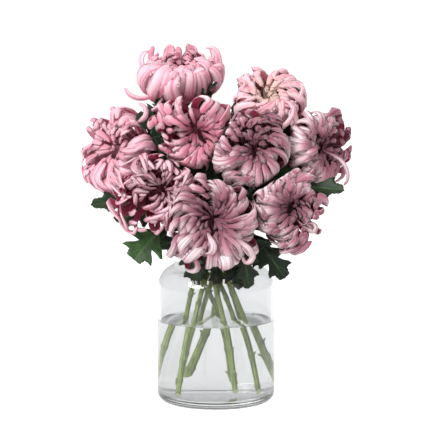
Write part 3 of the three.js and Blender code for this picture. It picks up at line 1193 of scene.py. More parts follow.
    def midlines(self, rng: np.random.Generator, azimuth: Array, layer: Array) -> Array:
        """Each petal's midline as six points of (distance from the axis, height), as shares of the radius.

        It is a mean of the folded and the standing line for its layer. With the heart off the middle by h,
        a petal along the unit vector o reaches sqrt((o.h)^2 + 1 - h^2) - o.h, the way from there to the
        unit circle. Past the crest it is drawn out or in by a share that changes from petal to petal.

        Args:
            rng: Where the variations are drawn from.
            azimuth: Each petal's direction round the axis.
            layer: How far out each petal stands, 0 to 1.

        Returns:
            The midlines, shape (petals, 6, 2).
        """
        lie = self.lie.value
        n = len(azimuth)
        opened = self.opening(azimuth, layer)
        drift = partial(self.drift, rng, azimuth, layer)
        loose = lie.looseness * (0.7 * drift() + 0.7 * rng.normal(size=n))
        standing = np.clip(lie.standing + opened + loose * (0.4 + 0.6 * layer), -0.12, 1.2)[:, None, None]
        place = layer * (len(FOLDED) - 1)
        below = np.minimum(place.astype(int), len(FOLDED) - 2)
        share = (place - below)[:, None, None]
        folded = FOLDED[below] * (1 - share) + FOLDED[below + 1] * share
        stood = STANDING[below] * (1 - share) + STANDING[below + 1] * share
        line = folded * (1 - standing) + stood * standing
        reach = 1.0 + lie.unevenness * (0.6 * drift() + rng.normal(-0.5, 0.8, n))
        shift = np.array(self.heart_at)
        toward = np.stack([np.cos(azimuth), np.sin(azimuth)], axis=-1) @ shift
        rim = np.sqrt(toward**2 + 1.0 - shift @ shift) - toward
        reach = self.spread * np.clip(reach, *self.reach_limits) * rim * (1.0 - self.open_short * opened)
        line[..., 0] *= reach[:, None]
        line[..., 1] *= (0.5 * (reach + 1.0) + lie.unevenness * rng.normal(0.0, 0.6, n))[:, None]
        past = 1.0 + lie.tip_change * (0.6 * drift() + 0.7 * rng.normal(size=n))
        past = np.clip(past, 0.4, 1.5)[:, None]
        fold = line[:, 4] + (line[:, 4] - line[:, 3]) * 0.4 * (past - 1.0)
        line[:, 5] = fold + (line[:, 5] - line[:, 4]) * past
        line[:, 5, 1] += 0.5 * lie.unevenness * rng.normal(size=n) * layer
        line[:, 4] = fold
        return line

    def petals(self, others: list["Bloom"]) -> Skin:
        """All petals as one skin.

        Petal i stands at the golden angle times i, and ((i + 0.5) / count)^packing of the way out. Its
        midline leans sideways by (whirl + lean) t^1.5 and sways by sin(2 pi t).

        Args:
            others: The other blooms, which its petals keep clear of.

        Returns:
            The petals' skin.
        """
        lie = self.lie.value
        rng = np.random.default_rng(PETAL_SEED + self.number)
        across, up, axis = self.petal_axes()
        n = lie.count
        i = np.arange(n)
        layer = ((i + 0.5) / n) ** self.packing
        azimuth = (i * self.golden_angle) % (2 * np.pi) + rng.normal(0.0, JITTER, n)
        azimuth += lie.locks * self.drift(rng, 2.0 * azimuth, layer)
        drift = partial(self.drift, rng, azimuth, layer)
        t = np.array(self.rings)
        line = spline(self.midlines(rng, azimuth, layer), t)
        lean = self.whirl + lie.lean * drift() + lie.stray * rng.normal(size=n)
        sway = lie.stray * rng.normal(0.0, 0.6, n)
        turn = azimuth[:, None] + lean[:, None] * t**1.5 + sway[:, None] * np.sin(2.0 * np.pi * t)
        out = np.cos(turn)[..., None] * across + np.sin(turn)[..., None] * up
        middle = (out * line[..., :1] + axis * line[..., 1:]) * self.radius
        middle += (self.tall - 1.0) * (middle @ up)[..., None] * up + self.heart_centre
        along = unit(np.gradient(middle, t, axis=1))
        side = np.cross(axis, out)
        side = unit(side - np.sum(side * along, axis=-1, keepdims=True) * along)
        back = np.cross(side, along)
        roll = lie.roll * (0.6 * drift() + 0.6 * rng.normal(size=n))
        roll = (roll[:, None] * t**1.2)[..., None]
        side, back = side * np.cos(roll) + back * np.sin(roll), back * np.cos(roll) - side * np.sin(roll)
        width = lie.breadth / 2 * (0.5 + 0.5 * smooth(layer * 1.3)) * rng.uniform(*self.width_range, n)
        opened = self.opening(azimuth, layer)
        width *= 1.0 - self.open_narrow * opened
        half = width[:, None] * np.interp(t, self.breadth_keys, self.breadth_shares)
        channel = lie.channel * rng.uniform(*self.channel_range, n) + self.open_narrow * opened
        points = petal_points(middle, side, back, half, channel, self.petal_thickness)
        points = self.keep_in_box(self.keep_own_space(points, others))
        tone = np.clip(rng.normal(0.0, 1.0, n) + 0.6 * drift(), -2.5, 2.5)
        # A minus paints shade on the open side
        tone += self.open_shade_tone * opened
        young = 1.0 - smooth(line[..., 0] / self.heart_share)
        return petal_skin(points, t, tone, layer, young)

    def stray_skin(self, stray: Stray) -> Skin:
        """One petal that goes its own way, along the curve through its points.

        Args:
            stray: The petal.

        Returns:
            Its skin.
        """
        t = np.array(self.rings)
        middle = spline(np.array([stray.line], float), t)
        along = unit(np.gradient(middle, t, axis=1))
        turned_back = smooth(t)[:, None]
        back = np.array(stray.back) * (1.0 - turned_back) + np.array(stray.back_at_tip) * turned_back
        back = unit(back - np.sum(back * along, axis=-1, keepdims=True) * along)
        half = stray.breadth / 2 * np.interp(t, self.breadth_keys, self.breadth_shares)[None]
        channel = np.array([stray.channel])
        points = petal_points(middle, np.cross(along, back), back, half, channel, self.petal_thickness)
        tone, layer, young = np.array([stray.tone]), np.ones(1), np.zeros((1, len(t)))
        shades = self.stray_shades[0] + (self.stray_shades[1] - self.stray_shades[0]) * t
        return petal_skin(self.keep_in_box(points), shades, tone, layer, young)

    def heart(self) -> Skin:
        """The solid heart that the petals grow from, turned round the bloom's axis.

        Returns:
            The heart's skin.
        """
        profile = np.array(self.core_profile) * self.radius
        skin = turned(profile, TURNED_SIDES, side=0.0, tone=0.0, layer=0.0, young=1.0)
        skin.points = skin.points @ self.petal_axes() + self.heart_centre
        return skin

    def build(self, others: list["Bloom"], finish: bpy.types.Material) -> None:
        """Makes the bloom.

        Args:
            others: The other blooms.
            finish: The petals' material.
        """
        strays = [self.stray_skin(stray) for stray in self.strays]
        skin = joined([self.petals(others), self.heart(), *strays])
        name = f"bloom_{self.number}"
        make_piece(f"{name}_petals", skin, finish, self.colouring.value.slot, name)


# The two rows of a crown. For each: points of (distance from the middle, height over it) along a petal, how
# many petals there are, their breadth, and the lowest share of the height that is drawn
CROWN_ROWS = (
    (((14, -18), (36, -6), (46, 8), (50, 24), (49, 36), (44, 45)), 6, 15.0, 0.84),
    (((8, -14), (24, -2), (33, 8), (37, 20), (36, 31), (31, 37)), 8, 11.0, 0.5),
)
# The angles from the back between which a crown's petals stand, in degrees
CROWN_SPAN = (-95.0, 100.0)


def crown(middle: Point, seed: int) -> tuple[Stray, ...]:
    """Broad petals that stand behind a bloom's heart: six tall ones, and eight lower ones before them.

    A petal at the angle a from the back passes through middle + (r sin a, r cos a, z) for its row's r and
    z. Drawn shares stretch r and z, and z is also 0.8 + 0.2 cos a of the full height, so that it sinks
    towards the sides.

    Args:
        middle: The point on the bloom's axis from which the petals are measured.
        seed: The seed of the draws.

    Returns:
        The petals.
    """
    rng = np.random.default_rng(seed)
    petals = []
    for row, count, breadth, lowest in CROWN_ROWS:
        for a in np.radians(np.linspace(*CROWN_SPAN, count)) + rng.normal(0.0, JITTER, count):
            wide, high, turn = rng.uniform(0.92, 1.02), rng.uniform(lowest, 1.0), rng.normal(0.0, 0.3)
            high *= 0.8 + 0.2 * math.cos(a)
            way = np.array([math.sin(a), math.cos(a), 0.0])
            line = [np.array(middle) + way * r * wide + np.array([0.0, 0.0, z * high]) for r, z in row]
            back = way + np.array([turn * way[1], -turn * way[0], -0.2])
            at_tip = 0.4 * back + np.array([0.0, 0.0, 1.0])
            width = breadth * rng.uniform(0.7, 1.1)
            # The crown's petals take the palest tone: partly their own pale colour, partly painted light
            # standing in for the light that they let through
            petals.append(Stray(line, back, at_tip, width, channel=0.5, tone=2.5))
    return tuple(petals)


# Blooms 6, 7 and 9 darken their open right sides with open_shade_tone: painted shade, on the side away from
# the key lamp
BLOOMS = [
    Bloom(
        1, (-45, 45, 400), (-0.05, -0.44, 0.9), 53, Lie.BOWL, Colouring.PALE,
        open_way=(0, 0.6, 0.8), open_share=0.95, open_from=0.1, open_narrow=0.3, open_short=0.4,
        gaze=(-0.05, -0.6, 0.8), offset=(0, 0, 7), heart_at=(0.04, 0.0), whirl=0.1, tall=0.84,
        strays=crown((-45.0, 45.0, 403.0), 71) + (
            Stray(
                ((-50, 45, 388), (-73, 30, 379), (-92, 25, 374), (-107, 25, 378), (-114, 28, 388)),
                (0, -0.6, -1), (-1, -0.6, -0.4), 11.0,
            ),
            Stray(
                ((-50, 40, 388), (-62, 22, 381), (-73, 18, 366), (-84, 20, 358), (-91, 22, 355)),
                (0, -1, -0.3), (-0.4, -1, 0.4), 5.0, 0.5, -2.5,
            ),
            Stray(
                (
                    (-30, 45, 390), (-2, 38, 398), (6, 38, 415),
                    (4, 40, 431), (-3, 42, 439), (-13, 44, 438),
                ),
                (1, -0.4, 0), (-0.2, -0.3, 1), 9.0,
            ),
            Stray(
                ((-60, 45, 392), (-88, 42, 404), (-95, 42, 420), (-92, 46, 432), (-84, 50, 434)),
                (-1, -0.4, 0), (0, -0.4, 1), 8.0,
            ),
        ),
    ),
    Bloom(
        2, (-117, 18, 310), (-0.62, -0.75, 0.18), 55, Lie.RIBBON, Colouring.PALE,
        open_way=(-1, 0.4, 0.2), open_share=0.5, whirl=-0.3,
        strays=(
            Stray(
                ((-113, 15, 335), (-96, 2, 346), (-86, 0, 355), (-87, 4, 366), (-95, 8, 371)),
                (0.8, -0.6, 0.2), (0.2, -0.5, 1), 8.0,
            ),
        ),
    ),
    Bloom(
        3, (-28, -25, 343), (0.1, -0.98, -0.02), 53, Lie.STRAP, Colouring.MID,
        open_way=(-0.5, 0, 1), open_share=0.3, open_narrow=0.0, offset=(0, -3, -7), heart_at=(0.06, 0.06),
        whirl=0.1, tall=0.88,
    ),
    Bloom(
        4, (-74, -50, 261), (0.1, -0.96, 0.2), 51, Lie.QUILL, Colouring.LILAC,
        open_way=(-1, 0, -0.6), open_share=0.5, offset=(2, 0, 3), heart_at=(0.1, 0.1), whirl=0.1,
    ),
    Bloom(
        5, (-4, -80, 229), (0.08, -0.94, 0.3), 58, Lie.NARROW_RIBBON, Colouring.MAUVE,
        open_way=(0, 0, -1), open_share=0.3, open_from=0.7, open_narrow=0.0, heart_at=(0.0, 0.12),
        whirl=-0.45, heart_share=0.9,
        strays=(
            Stray(
                ((-2, -84, 206), (6, -108, 200), (11, -122, 192), (12, -118, 182), (9, -108, 178)),
                (0, -0.7, 0.7), (0, -0.4, -1), 19.0, 0.3, -0.5,
            ),
            Stray(
                ((-8, -90, 212), (-18, -114, 206), (-27, -122, 198), (-34, -118, 190), (-36, -108, 187)),
                (0, -0.7, 0.7), (-0.3, -0.4, -1), 15.0, 0.3, -0.5,
            ),
            Stray(
                (
                    (12, -92, 220), (30, -112, 212), (41, -114, 203),
                    (43, -110, 193), (36, -110, 188), (32, -112, 194),
                ),
                (0.5, -1, 0.2), (0, -0.6, 1), 9.0,
            ),
            Stray(
                ((-10, -94, 224), (-6, -116, 218), (-2, -124, 208), (-5, -120, 199), (-12, -114, 197)),
                (0.5, -1, 0.2), (-0.1, -0.6, -1), 9.0,
            ),
            Stray(
                ((-20, -100, 224), (-34, -118, 216), (-42, -118, 206), (-42, -110, 197)),
                (-0.3, -1, 0.3), (-0.5, -0.6, -0.6), 12.0,
            ),
        ),
    ),
    Bloom(
        6, (85, -58, 243), (0.3, -0.94, 0.12), 48, Lie.RIBBON, Colouring.MAUVE,
        open_way=(0.6, 0, -1), open_share=0.6, open_from=0.3, open_shade_tone=-1.0, heart_at=(0.06, 0.1), whirl=0.4,
        heart_share=0.72,
        strays=(
            Stray(
                (
                    (92, -62, 238), (106, -66, 224), (116, -66, 218),
                    (121, -64, 224), (116, -62, 230), (106, -62, 228),
                ),
                (0.3, -0.5, -1), (0, -0.4, 1), 7.0,
            ),
            Stray(
                ((98, -60, 240), (111, -62, 227), (119, -60, 220), (125, -56, 216)),
                (0.4, -1, 0.3), (0.4, -1, 0.3), 6.0,
            ),
        ),
    ),
    Bloom(
        7, (125, 0, 317), (0.6, -0.8, 0.0), 46, Lie.RIBBON, Colouring.MAUVE,
        open_way=(1, 0, -0.3), open_share=0.6, open_from=0.1, open_shade_tone=-0.8, whirl=0.3,
        strays=(
            Stray(
                ((122, 0, 318), (107, -10, 326), (95, -10, 343), (91, -8, 358), (96, -5, 367)),
                (-0.8, -0.8, 0.2), (-0.2, -0.6, 0.6), 8.0,
            ),
            Stray(
                ((134, -5, 313), (153, -14, 303), (162, -14, 290), (163, -12, 277), (158, -10, 270)),
                (0.8, -0.6, 0.4), (0.8, -0.6, -0.4), 8.0,
            ),
        ),
    ),
    Bloom(
        8, (64, 30, 372), (0.02, -0.66, 0.75), 46, Lie.RIBBON, Colouring.PEACH_HEART,
        open_way=(0, 1, 0.4), open_share=0.5, open_from=0.5, open_narrow=0.0, whirl=0.5, heart_share=0.7,
        strays=(
            Stray(
                ((80, 25, 368), (98, 10, 369), (106, 8, 380), (108, 10, 391), (103, 14, 396)),
                (0.6, -0.6, -0.4), (1, -0.4, 0.4), 8.0,
            ),
            Stray(
                ((72, 15, 376), (91, -6, 372), (99, -12, 353), (101, -12, 332), (99, -8, 314)),
                (0.6, -1, 0.4), (0.8, -1, 0), 8.0,
            ),
            Stray(
                ((52, -10, 356), (66, -22, 341), (83, -22, 343), (94, -18, 356), (96, -12, 367)),
                (0, -0.8, -0.6), (0.8, -0.8, 0.2), 8.0,
            ),
        ),
    ),
    Bloom(
        9, (39, -42, 312), (0.15, -0.93, 0.33), 51, Lie.RIBBON, Colouring.MAUVE,
        open_way=(0.6, 0, 0.8), open_share=0.7, open_from=0.1, open_shade_tone=-1.0, heart_at=(0.1, 0.06),
        whirl=0.4,
    ),
]


# ---------------------------------------------------------------------------------------------------------
# Stems and leaves
# ---------------------------------------------------------------------------------------------------------


@dataclass
class Leaf:
    """One lobed leaf: its place up the stem, its tip, the way its upper face looks, and half its width."""

    up: float
    tip: Point
    face: Point
    width: float
    tone: float = 0.3

    thickness: float = 0.6
    # How far it stays out of a bloom's sphere: a minus lets it reach in
    clearance: float = -3.0
    # How far its lobes sweep towards the tip, its halves fold up, and its rib arches
    sweep: float = 0.55
    fold: float = 0.14
    arch: float = 0.12
    rows: int = 56
    # How far along the blade, and half the width there: rounded lobes between deep notches
    outline_keys: tuple[float, ...] = (0.0, 0.22, 0.3, 0.38, 0.46, 0.55, 0.66, 0.76, 0.84, 0.93, 1.0)
    outline: tuple[float, ...] = (0.08, 0.09, 0.34, 0.7, 0.3, 0.96, 0.36, 0.78, 0.42, 0.36, 0.04)
    # The teeth on the lobes: their depth, as a share of the width, and how many there are
    teeth: float = 0.05
    teeth_along: float = 21.0
    # Where the leaf's own stalk ends, over what length the teeth start after it, and end before the tip
    blade_from: float = 0.2
    teeth_start: float = 0.12
    teeth_end: float = 0.05
    # Two waves along the edges: their heights, as shares of the width, and their radians along the leaf
    wave_heights: tuple[float, float] = (0.05, 0.03)
    wave_turns: tuple[float, float] = (9.0, 23.0)
    # How far the two halves' first waves are apart, in radians each way
    wave_lag: float = 1.5
    edge_thinning: float = 0.7
    # How much the tone of single leaves varies each way
    tone_change: float = 0.08
    # The leaf bends clear of the blooms from this place along it
    free_from: float = 0.1
    across: int = 9
    # Rounds in which it is pushed out of the blooms, because leaving one can enter the next
    rounds: int = 12

    def skin(self, root: Array, blooms: list[Bloom], seed: int) -> Skin:
        """The leaf as a thin closed shell.

        The rib is a quadratic curve over a crest. A point's way off the rib is
        side x h + along x^2 sweep h + lift (x^2 fold h + wave), with h the half width there. A wave is
        height h x^2 sin(turns s + phase).

        Args:
            root: Where it leaves the stem.
            blooms: The blooms that it bends clear of.
            seed: The seed of its waves.

        Returns:
            The leaf's skin.
        """
        rng = np.random.default_rng(seed)
        tip, face = np.array(self.tip, float), unit(np.array(self.face, float))
        length = float(np.linalg.norm(tip - root))
        along = unit(tip - root)
        side = unit(np.cross(along, face))
        lift = unit(np.cross(side, along))
        crest = (root + tip) / 2 + lift * self.arch * length
        s = np.linspace(0.0, 1.0, self.rows)
        x = np.linspace(-1.0, 1.0, self.across)
        rib = (1 - s[:, None]) ** 2 * root + 2 * (1 - s[:, None]) * s[:, None] * crest + s[:, None] ** 2 * tip
        blade = smooth((s - self.blade_from) / self.teeth_start) * smooth((1.0 - s) / self.teeth_end)
        tooth = 1.0 + self.teeth * blade * np.sin(2 * np.pi * self.teeth_along * s)
        half = (self.width * eased(s, self.outline_keys, self.outline) * tooth)[:, None]
        phase = rng.uniform(0, 2 * np.pi, 3)
        (high, low), (slow, fast) = self.wave_heights, self.wave_turns
        wave = high * half * np.sin(slow * s[:, None] + phase[0] + self.wave_lag * np.sign(x)) * x**2
        wave = wave + low * half * np.sin(fast * s[:, None] + phase[1]) * x**2
        grid = rib[:, None] + side * (x * half)[..., None] + along * (x**2 * self.sweep * half)[..., None]
        grid = grid + lift * (x**2 * self.fold * half + wave)[..., None]
        free = s > self.free_from
        grid[free] = self.keep_out(grid[free], blooms)
        normal = unit(np.cross(np.gradient(grid, axis=1), np.gradient(grid, axis=0)))
        thick = self.thickness * (1.0 - self.edge_thinning * np.abs(x[1:-1]) ** 3)
        under = grid[:, 1:-1] - normal[:, 1:-1] * thick[:, None]
        points = np.concatenate([grid, under[:, ::-1]], axis=1)[None]
        u = np.concatenate([x, x[1:-1][::-1]]) / 2 + 0.5
        tone = self.tone + rng.uniform(-self.tone_change, self.tone_change)
        return shell_skin(points, u, s[:, None], clockwise=True, tone=tone)

    def keep_out(self, points: Array, blooms: list[Bloom]) -> Array:
        """Pushes points out of every bloom's sphere.

        Args:
            points: Any array of points.
            blooms: The blooms.

        Returns:
            The moved points.
        """
        for _ in range(self.rounds):
            for bloom in blooms:
                away = points - bloom.centre
                distance = np.linalg.norm(away, axis=-1, keepdims=True)
                short = np.maximum(bloom.radius + self.clearance - distance, 0.0)
                points = points + unit(away) * short
        return points


# A leaf that fills a dark gap between the blooms, and reaches 9 mm into their spheres
gap_leaf = partial(Leaf, clearance=-9.0)


@dataclass
class Stem:
    """One stem: its way up from the cut end, its green cup under the bloom, and its leaves."""

    bloom: Bloom
    way: tuple[Point, ...]
    leaves: list[Leaf]

    radius: float = 3.4
    cup_r: float = 11.0
    cup_height: float = 10.0
    stem_in_cup: float = 2.0
    straight_under_bloom: float = 14.0
    seat_gap: float = 0.3
    # The bloom's foot, this share of its radius behind its middle
    foot: float = 0.58
    # The joints: the first one's height, the steps, and how far and over what length they swell
    first_joint: float = 14.0
    joint_spacing: float = 36.0
    joint_swell: float = 0.22
    joint_reach: float = 2.6
    joint_count: int = 12
    # How far a joint is off its place, in steps, how near the cup none stands, and how dark the joints are
    joint_jitter: float = 0.25
    joint_free: float = 20.0
    joint_stain: float = 0.6
    # The girth at the cut end, how much of it is gone at the cup, and what is left of it between joints
    foot_girth: float = 1.02
    taper: float = 0.12
    waist: float = 0.93
    ridges: int = 6
    ridge_height: float = 0.035
    # How much the cut end slants, in radii, and over what length that fades
    cut_slant: float = 0.7
    cut_fade: float = 6.0
    # The cut face's breadth, as a share of the stalk's
    cut_share: float = 0.88
    sides: int = 12
    rows: int = 120
    stub_sides: int = 8
    # Stubs: how far each is turned on from the last, in radians, where they start, their lengths and radius
    stub_turn: float = 2.4
    stub_from: float = 2.0
    stub_length: tuple[float, float] = (2.2, 4.2)
    stub_r: float = 1.5
    # How many steps there are along the stem to where a leaf can grow
    places: int = 200
    # The cup's scales, which stand in rings that overlap
    scale_rings: int = 3
    scales_per_ring: int = 11
    scale_half: float = 2.3
    scale_thickness: float = 0.8
    # Leaves among the blooms: how many are tried, from where up the stem, and how near the blooms they stay
    inner_count: int = 20
    inner_from: float = 0.56
    inner_step: float = 0.021
    inner_reach: float = 34.0
    # No such leaf's tip lies inside this share of a bloom's radius
    inner_clear: float = 0.8
    inner_tone: float = 0.05
    inner_length: tuple[float, float] = (44.0, 60.0)
    inner_width: tuple[float, float] = (18.0, 24.0)
    bunch_middle: Point = (0.0, 10.0, 250.0)

    def curve(self, count: int) -> Array:
        """Points at equal steps along the stem's curve.

        Args:
            count: How many points.

        Returns:
            The points, from the cut end to the cup.
        """
        back = -self.bloom.axes()[2]
        depth = self.foot * self.bloom.radius + self.seat_gap + self.cup_height - self.stem_in_cup
        cup = self.bloom.centre + back * depth
        keys = np.array([*self.way, cup + back * self.straight_under_bloom, cup], float)
        fine = spline(keys, np.linspace(0.0, 1.0, 400))
        run = lengths(fine)
        even = np.linspace(0, run[-1], count)
        return np.stack([np.interp(even, run, fine[:, k]) for k in range(3)], axis=-1)

    def stalk(self) -> Skin:
        """The stalk: a ridged tube that swells at each joint and ends in a slanting cut.

        At the angle a its radius is g (1 + h cos(ridges a)), with h the ridges' height. Its girth g tapers
        upwards and swells by exp(-(d / reach)^2) at the way d from a joint.

        Returns:
            The skin of the stalk and its stubs.
        """
        rng = np.random.default_rng(STALK_SEED + self.bloom.number)
        middle = self.curve(self.rows)
        along = unit(np.gradient(middle, axis=0))
        side = sideways(along)
        run = lengths(middle)
        off_place = rng.uniform(-self.joint_jitter, self.joint_jitter, self.joint_count)
        joints = self.first_joint + self.joint_spacing * (np.arange(self.joint_count) + off_place)
        joints = joints[joints < run[-1] - self.joint_free]
        near = np.exp(-(((run[:, None] - joints) / self.joint_reach) ** 2)).sum(axis=1)
        tapered = self.radius * (self.foot_girth - self.taper * run / run[-1])
        girth = tapered * (self.waist + self.joint_swell * near)
        angle = circle(self.sides)
        ridged = girth[:, None] * (1.0 + self.ridge_height * np.cos(self.ridges * angle))
        lean = rng.uniform(0, 2 * np.pi)
        to_side = side[:, None] * (np.cos(angle) * ridged)[..., None]
        to_other = np.cross(along, side)[:, None] * (np.sin(angle) * ridged)[..., None]
        slant = self.cut_slant * self.radius * (1 + np.cos(angle - lean)) * np.ones_like(ridged)
        fade = np.exp(-run / self.cut_fade)[:, None]
        points = middle[:, None] + (to_side + to_other) + along[0] * (slant * fade)[..., None]
        # The cut face has a ring of its own, a little inside the stalk's first one, and is pith
        centre = points[:1].mean(axis=1, keepdims=True)
        cut = centre * (1.0 - self.cut_share) + points[:1] * self.cut_share
        points = np.concatenate([cut, points])[None]
        joint = np.concatenate([[0.0], np.minimum(near, 1.0) * self.joint_stain])[:, None]
        pith = (np.arange(self.rows + 1) == 0)[:, None]
        v = np.concatenate([[0.0], run])[:, None] / 100.0
        tube = shell_skin(points, angle / (2 * np.pi), v, clockwise=True, joint=joint, pith=pith)
        return joined([tube, self.stubs(middle, along, run, joints, rng)])

    def stubs(self, middle: Array, along: Array, run: Array, joints: Array, rng: np.random.Generator) -> Skin:
        """Short stubs of stripped leaf stalks, one at each joint.

        A stub's middle line is joint + (start + length t) out + 0.9 length t^2 up, with circles round it
        that shrink towards its end.

        Args:
            middle: The stalk's midline.
            along: Its direction at each point.
            run: The length up to each point.
            joints: Where the joints are along it.
            rng: Where the stubs' directions are drawn from.

        Returns:
            The stubs' skin.
        """
        n = len(joints)
        i = np.clip(np.searchsorted(run, joints), 0, len(run) - 1)
        base, up = middle[i], along[i]
        turn = (self.stub_turn * np.arange(n) + rng.uniform(0, 6.3))[:, None]
        side = sideways(up)
        out = side * np.cos(turn) + np.cross(up, side) * np.sin(turn)
        t = np.array([0.0, 0.5, 0.9, 1.0])[:, None]
        length = rng.uniform(*self.stub_length, n)[:, None, None]
        outward = out[:, None] * (self.stub_from + length * t)
        line = base[:, None] + outward + up[:, None] * (length * 0.9 * t**2)
        stub_along = unit(np.gradient(line, axis=1))
        a = np.cross(up[:, None], stub_along)
        b = np.cross(stub_along, a)
        angle = circle(self.stub_sides)
        girth = (self.stub_r - 0.5 * t) * np.array([1, 1, 0.9, 0.5])[:, None]
        across = unit(a)[:, :, None] * np.cos(angle)[:, None] + unit(b)[:, :, None] * np.sin(angle)[:, None]
        points = line[:, :, None] + girth[..., None] * across
        pith = np.array([0.0, 0.0, 0.3, 0.8])[:, None]
        return shell_skin(points, angle / (2 * np.pi), t * 0.05, clockwise=True, joint=0.35, pith=pith)

    def cup(self) -> Skin:
        """The green cup under the bloom: a turned cup covered by rings of overlapping scales.

        The middle line of a scale in ring k stands r = cup (0.56 + 0.14 k + 0.42 smooth(1.1 t)) - 0.6 t off
        the axis, at z = foot + 0.6 + 1.5 k + (5.4 + 0.9 k) t.

        Returns:
            The cup's skin.
        """
        across, up, axis = self.bloom.axes()
        top = -self.foot * self.bloom.radius - self.seat_gap
        foot = top - self.cup_height
        profile = np.array(
            [
                [0.0, foot],
                [self.radius, foot],
                [self.cup_r * 0.62, foot + 2.2],
                [self.cup_r * 0.84, foot + 4.8],
                [self.cup_r * 0.94, top - 1.6],
                [self.cup_r * 0.9, top],
                [0.0, top],
            ]
        )
        core = turned(profile, TURNED_SIDES, tone=0.25)
        core.points = core.points @ self.bloom.axes() + self.bloom.centre
        i = np.arange(self.scales_per_ring * self.scale_rings)[:, None]
        ring = i // self.scales_per_ring
        azimuth = 2 * np.pi * (i / self.scales_per_ring) + ring * 0.29
        t = np.array([0.0, 0.3, 0.6, 0.85, 1.0])
        r = self.cup_r * (0.56 + 0.14 * ring + 0.42 * smooth(t * 1.1)) - 0.6 * t
        z = foot + 0.6 + 1.5 * ring + (5.4 + 0.9 * ring) * t
        out = np.cos(azimuth)[..., None] * across + np.sin(azimuth)[..., None] * up
        middle = self.bloom.centre + out * r[..., None] + axis * z[..., None]
        side = np.broadcast_to(np.cross(axis, out), middle.shape)
        back = unit(np.cross(side, unit(np.gradient(middle, axis=1))))
        half = self.scale_half * np.array([0.7, 1.0, 0.9, 0.5, 0.08])
        x = np.array([-1.0, 0.0, 1.0])
        inner = middle[:, :, None] + side[:, :, None] * (x * half[:, None])[..., None]
        outer = inner[:, :, 1:-1] + back[:, :, None] * self.scale_thickness
        points = np.concatenate([inner, outer], axis=2)
        scales = shell_skin(points, np.array([0.0, 0.5, 1.0, 0.5]), t[:, None], tone=0.4)
        return joined([core, scales])

    def inner_leaves(self, blooms: list[Bloom]) -> list[Leaf]:
        """The leaves that stand among the blooms, alternating up the stem by the golden angle.

        Leaf k grows at up = first + k step. It points along 0.8 out + 0.45 upstem, and only a leaf whose tip
        lies near two blooms or more is kept, so that none stands out of the bunch.

        Args:
            blooms: All the blooms.

        Returns:
            The leaves.
        """
        rng = np.random.default_rng(LEAF_SEED + self.bloom.number)
        way = self.curve(self.places + 1)
        along = unit(np.gradient(way, axis=0))
        leaves = []
        for k in range(self.inner_count):
            up = self.inner_from + k * self.inner_step
            at = round(up * self.places)
            side = sideways(along[at])
            turn = k * Bloom.golden_angle + self.bloom.number
            out = side * math.cos(turn) + np.cross(along[at], side) * math.sin(turn)
            tip = way[at] + unit(0.8 * out + 0.45 * along[at]) * rng.uniform(*self.inner_length)
            near = [b for b in blooms if np.linalg.norm(tip - b.centre) < b.radius + self.inner_reach]
            face = tip - np.array(self.bunch_middle)
            bars = [b for b in blooms if np.linalg.norm(tip - b.centre) < self.inner_clear * b.radius]
            if len(near) >= 2 and not bars:
                width = rng.uniform(*self.inner_width)
                leaves.append(gap_leaf(up, tuple(tip), tuple(face), width, self.inner_tone))
        return leaves

    def build(self, blooms: list[Bloom], woody: bpy.types.Material, green: bpy.types.Material) -> None:
        """Makes the stalk, the cup and the leaves.

        Args:
            blooms: All the blooms, which the leaves bend clear of.
            woody: The stalk's finish.
            green: The finish of leaves and cup.
        """
        number = self.bloom.number
        make_piece(f"stem_{number}_stalk", self.stalk(), woody, "greenery", f"stem_{number}")
        make_piece(f"stem_{number}_cup", self.cup(), green, "greenery")
        way = self.curve(self.places + 1)
        blades = [
            leaf.skin(way[round(leaf.up * self.places)], blooms, LEAF_SEEDS_APART * number + i)
            for i, leaf in enumerate(self.leaves + self.inner_leaves(blooms))
        ]
        make_piece(f"stem_{number}_leaves", joined(blades), green, "greenery")


STEM_WAYS = {
    1: ((21, -36, 17), (11, -26, 96), (-10, -6, 185), (-24, 22, 275)),
    2: ((46, -22, 14), (24, 0, 98), (-14, 23, 186), (-52, 32, 252)),
    3: ((14, 40, 18), (4, 26, 100), (-30, 2, 185), (-32, 6, 262)),
    4: ((49, 32, 14), (31, 14, 98), (2, -9, 182), (-34, -24, 226)),
    5: ((58, 8, 25), (40, -12, 92), (1, -32, 188), (-7, -39, 212)),
    6: ((-57, 16, 20), (-39, 8, 98), (-19, -17, 168), (34, -29, 226)),
    7: ((-38, -8, 18), (-20, -4, 103), (11, 7, 186), (62, 14, 256)),
    8: ((-43, -36, 12), (-28, -24, 97), (-5, 13, 178), (34, 40, 280)),
    9: ((-22, 44, 25), (-5, 36, 96), (14, 22, 186), (34, 6, 250)),
}

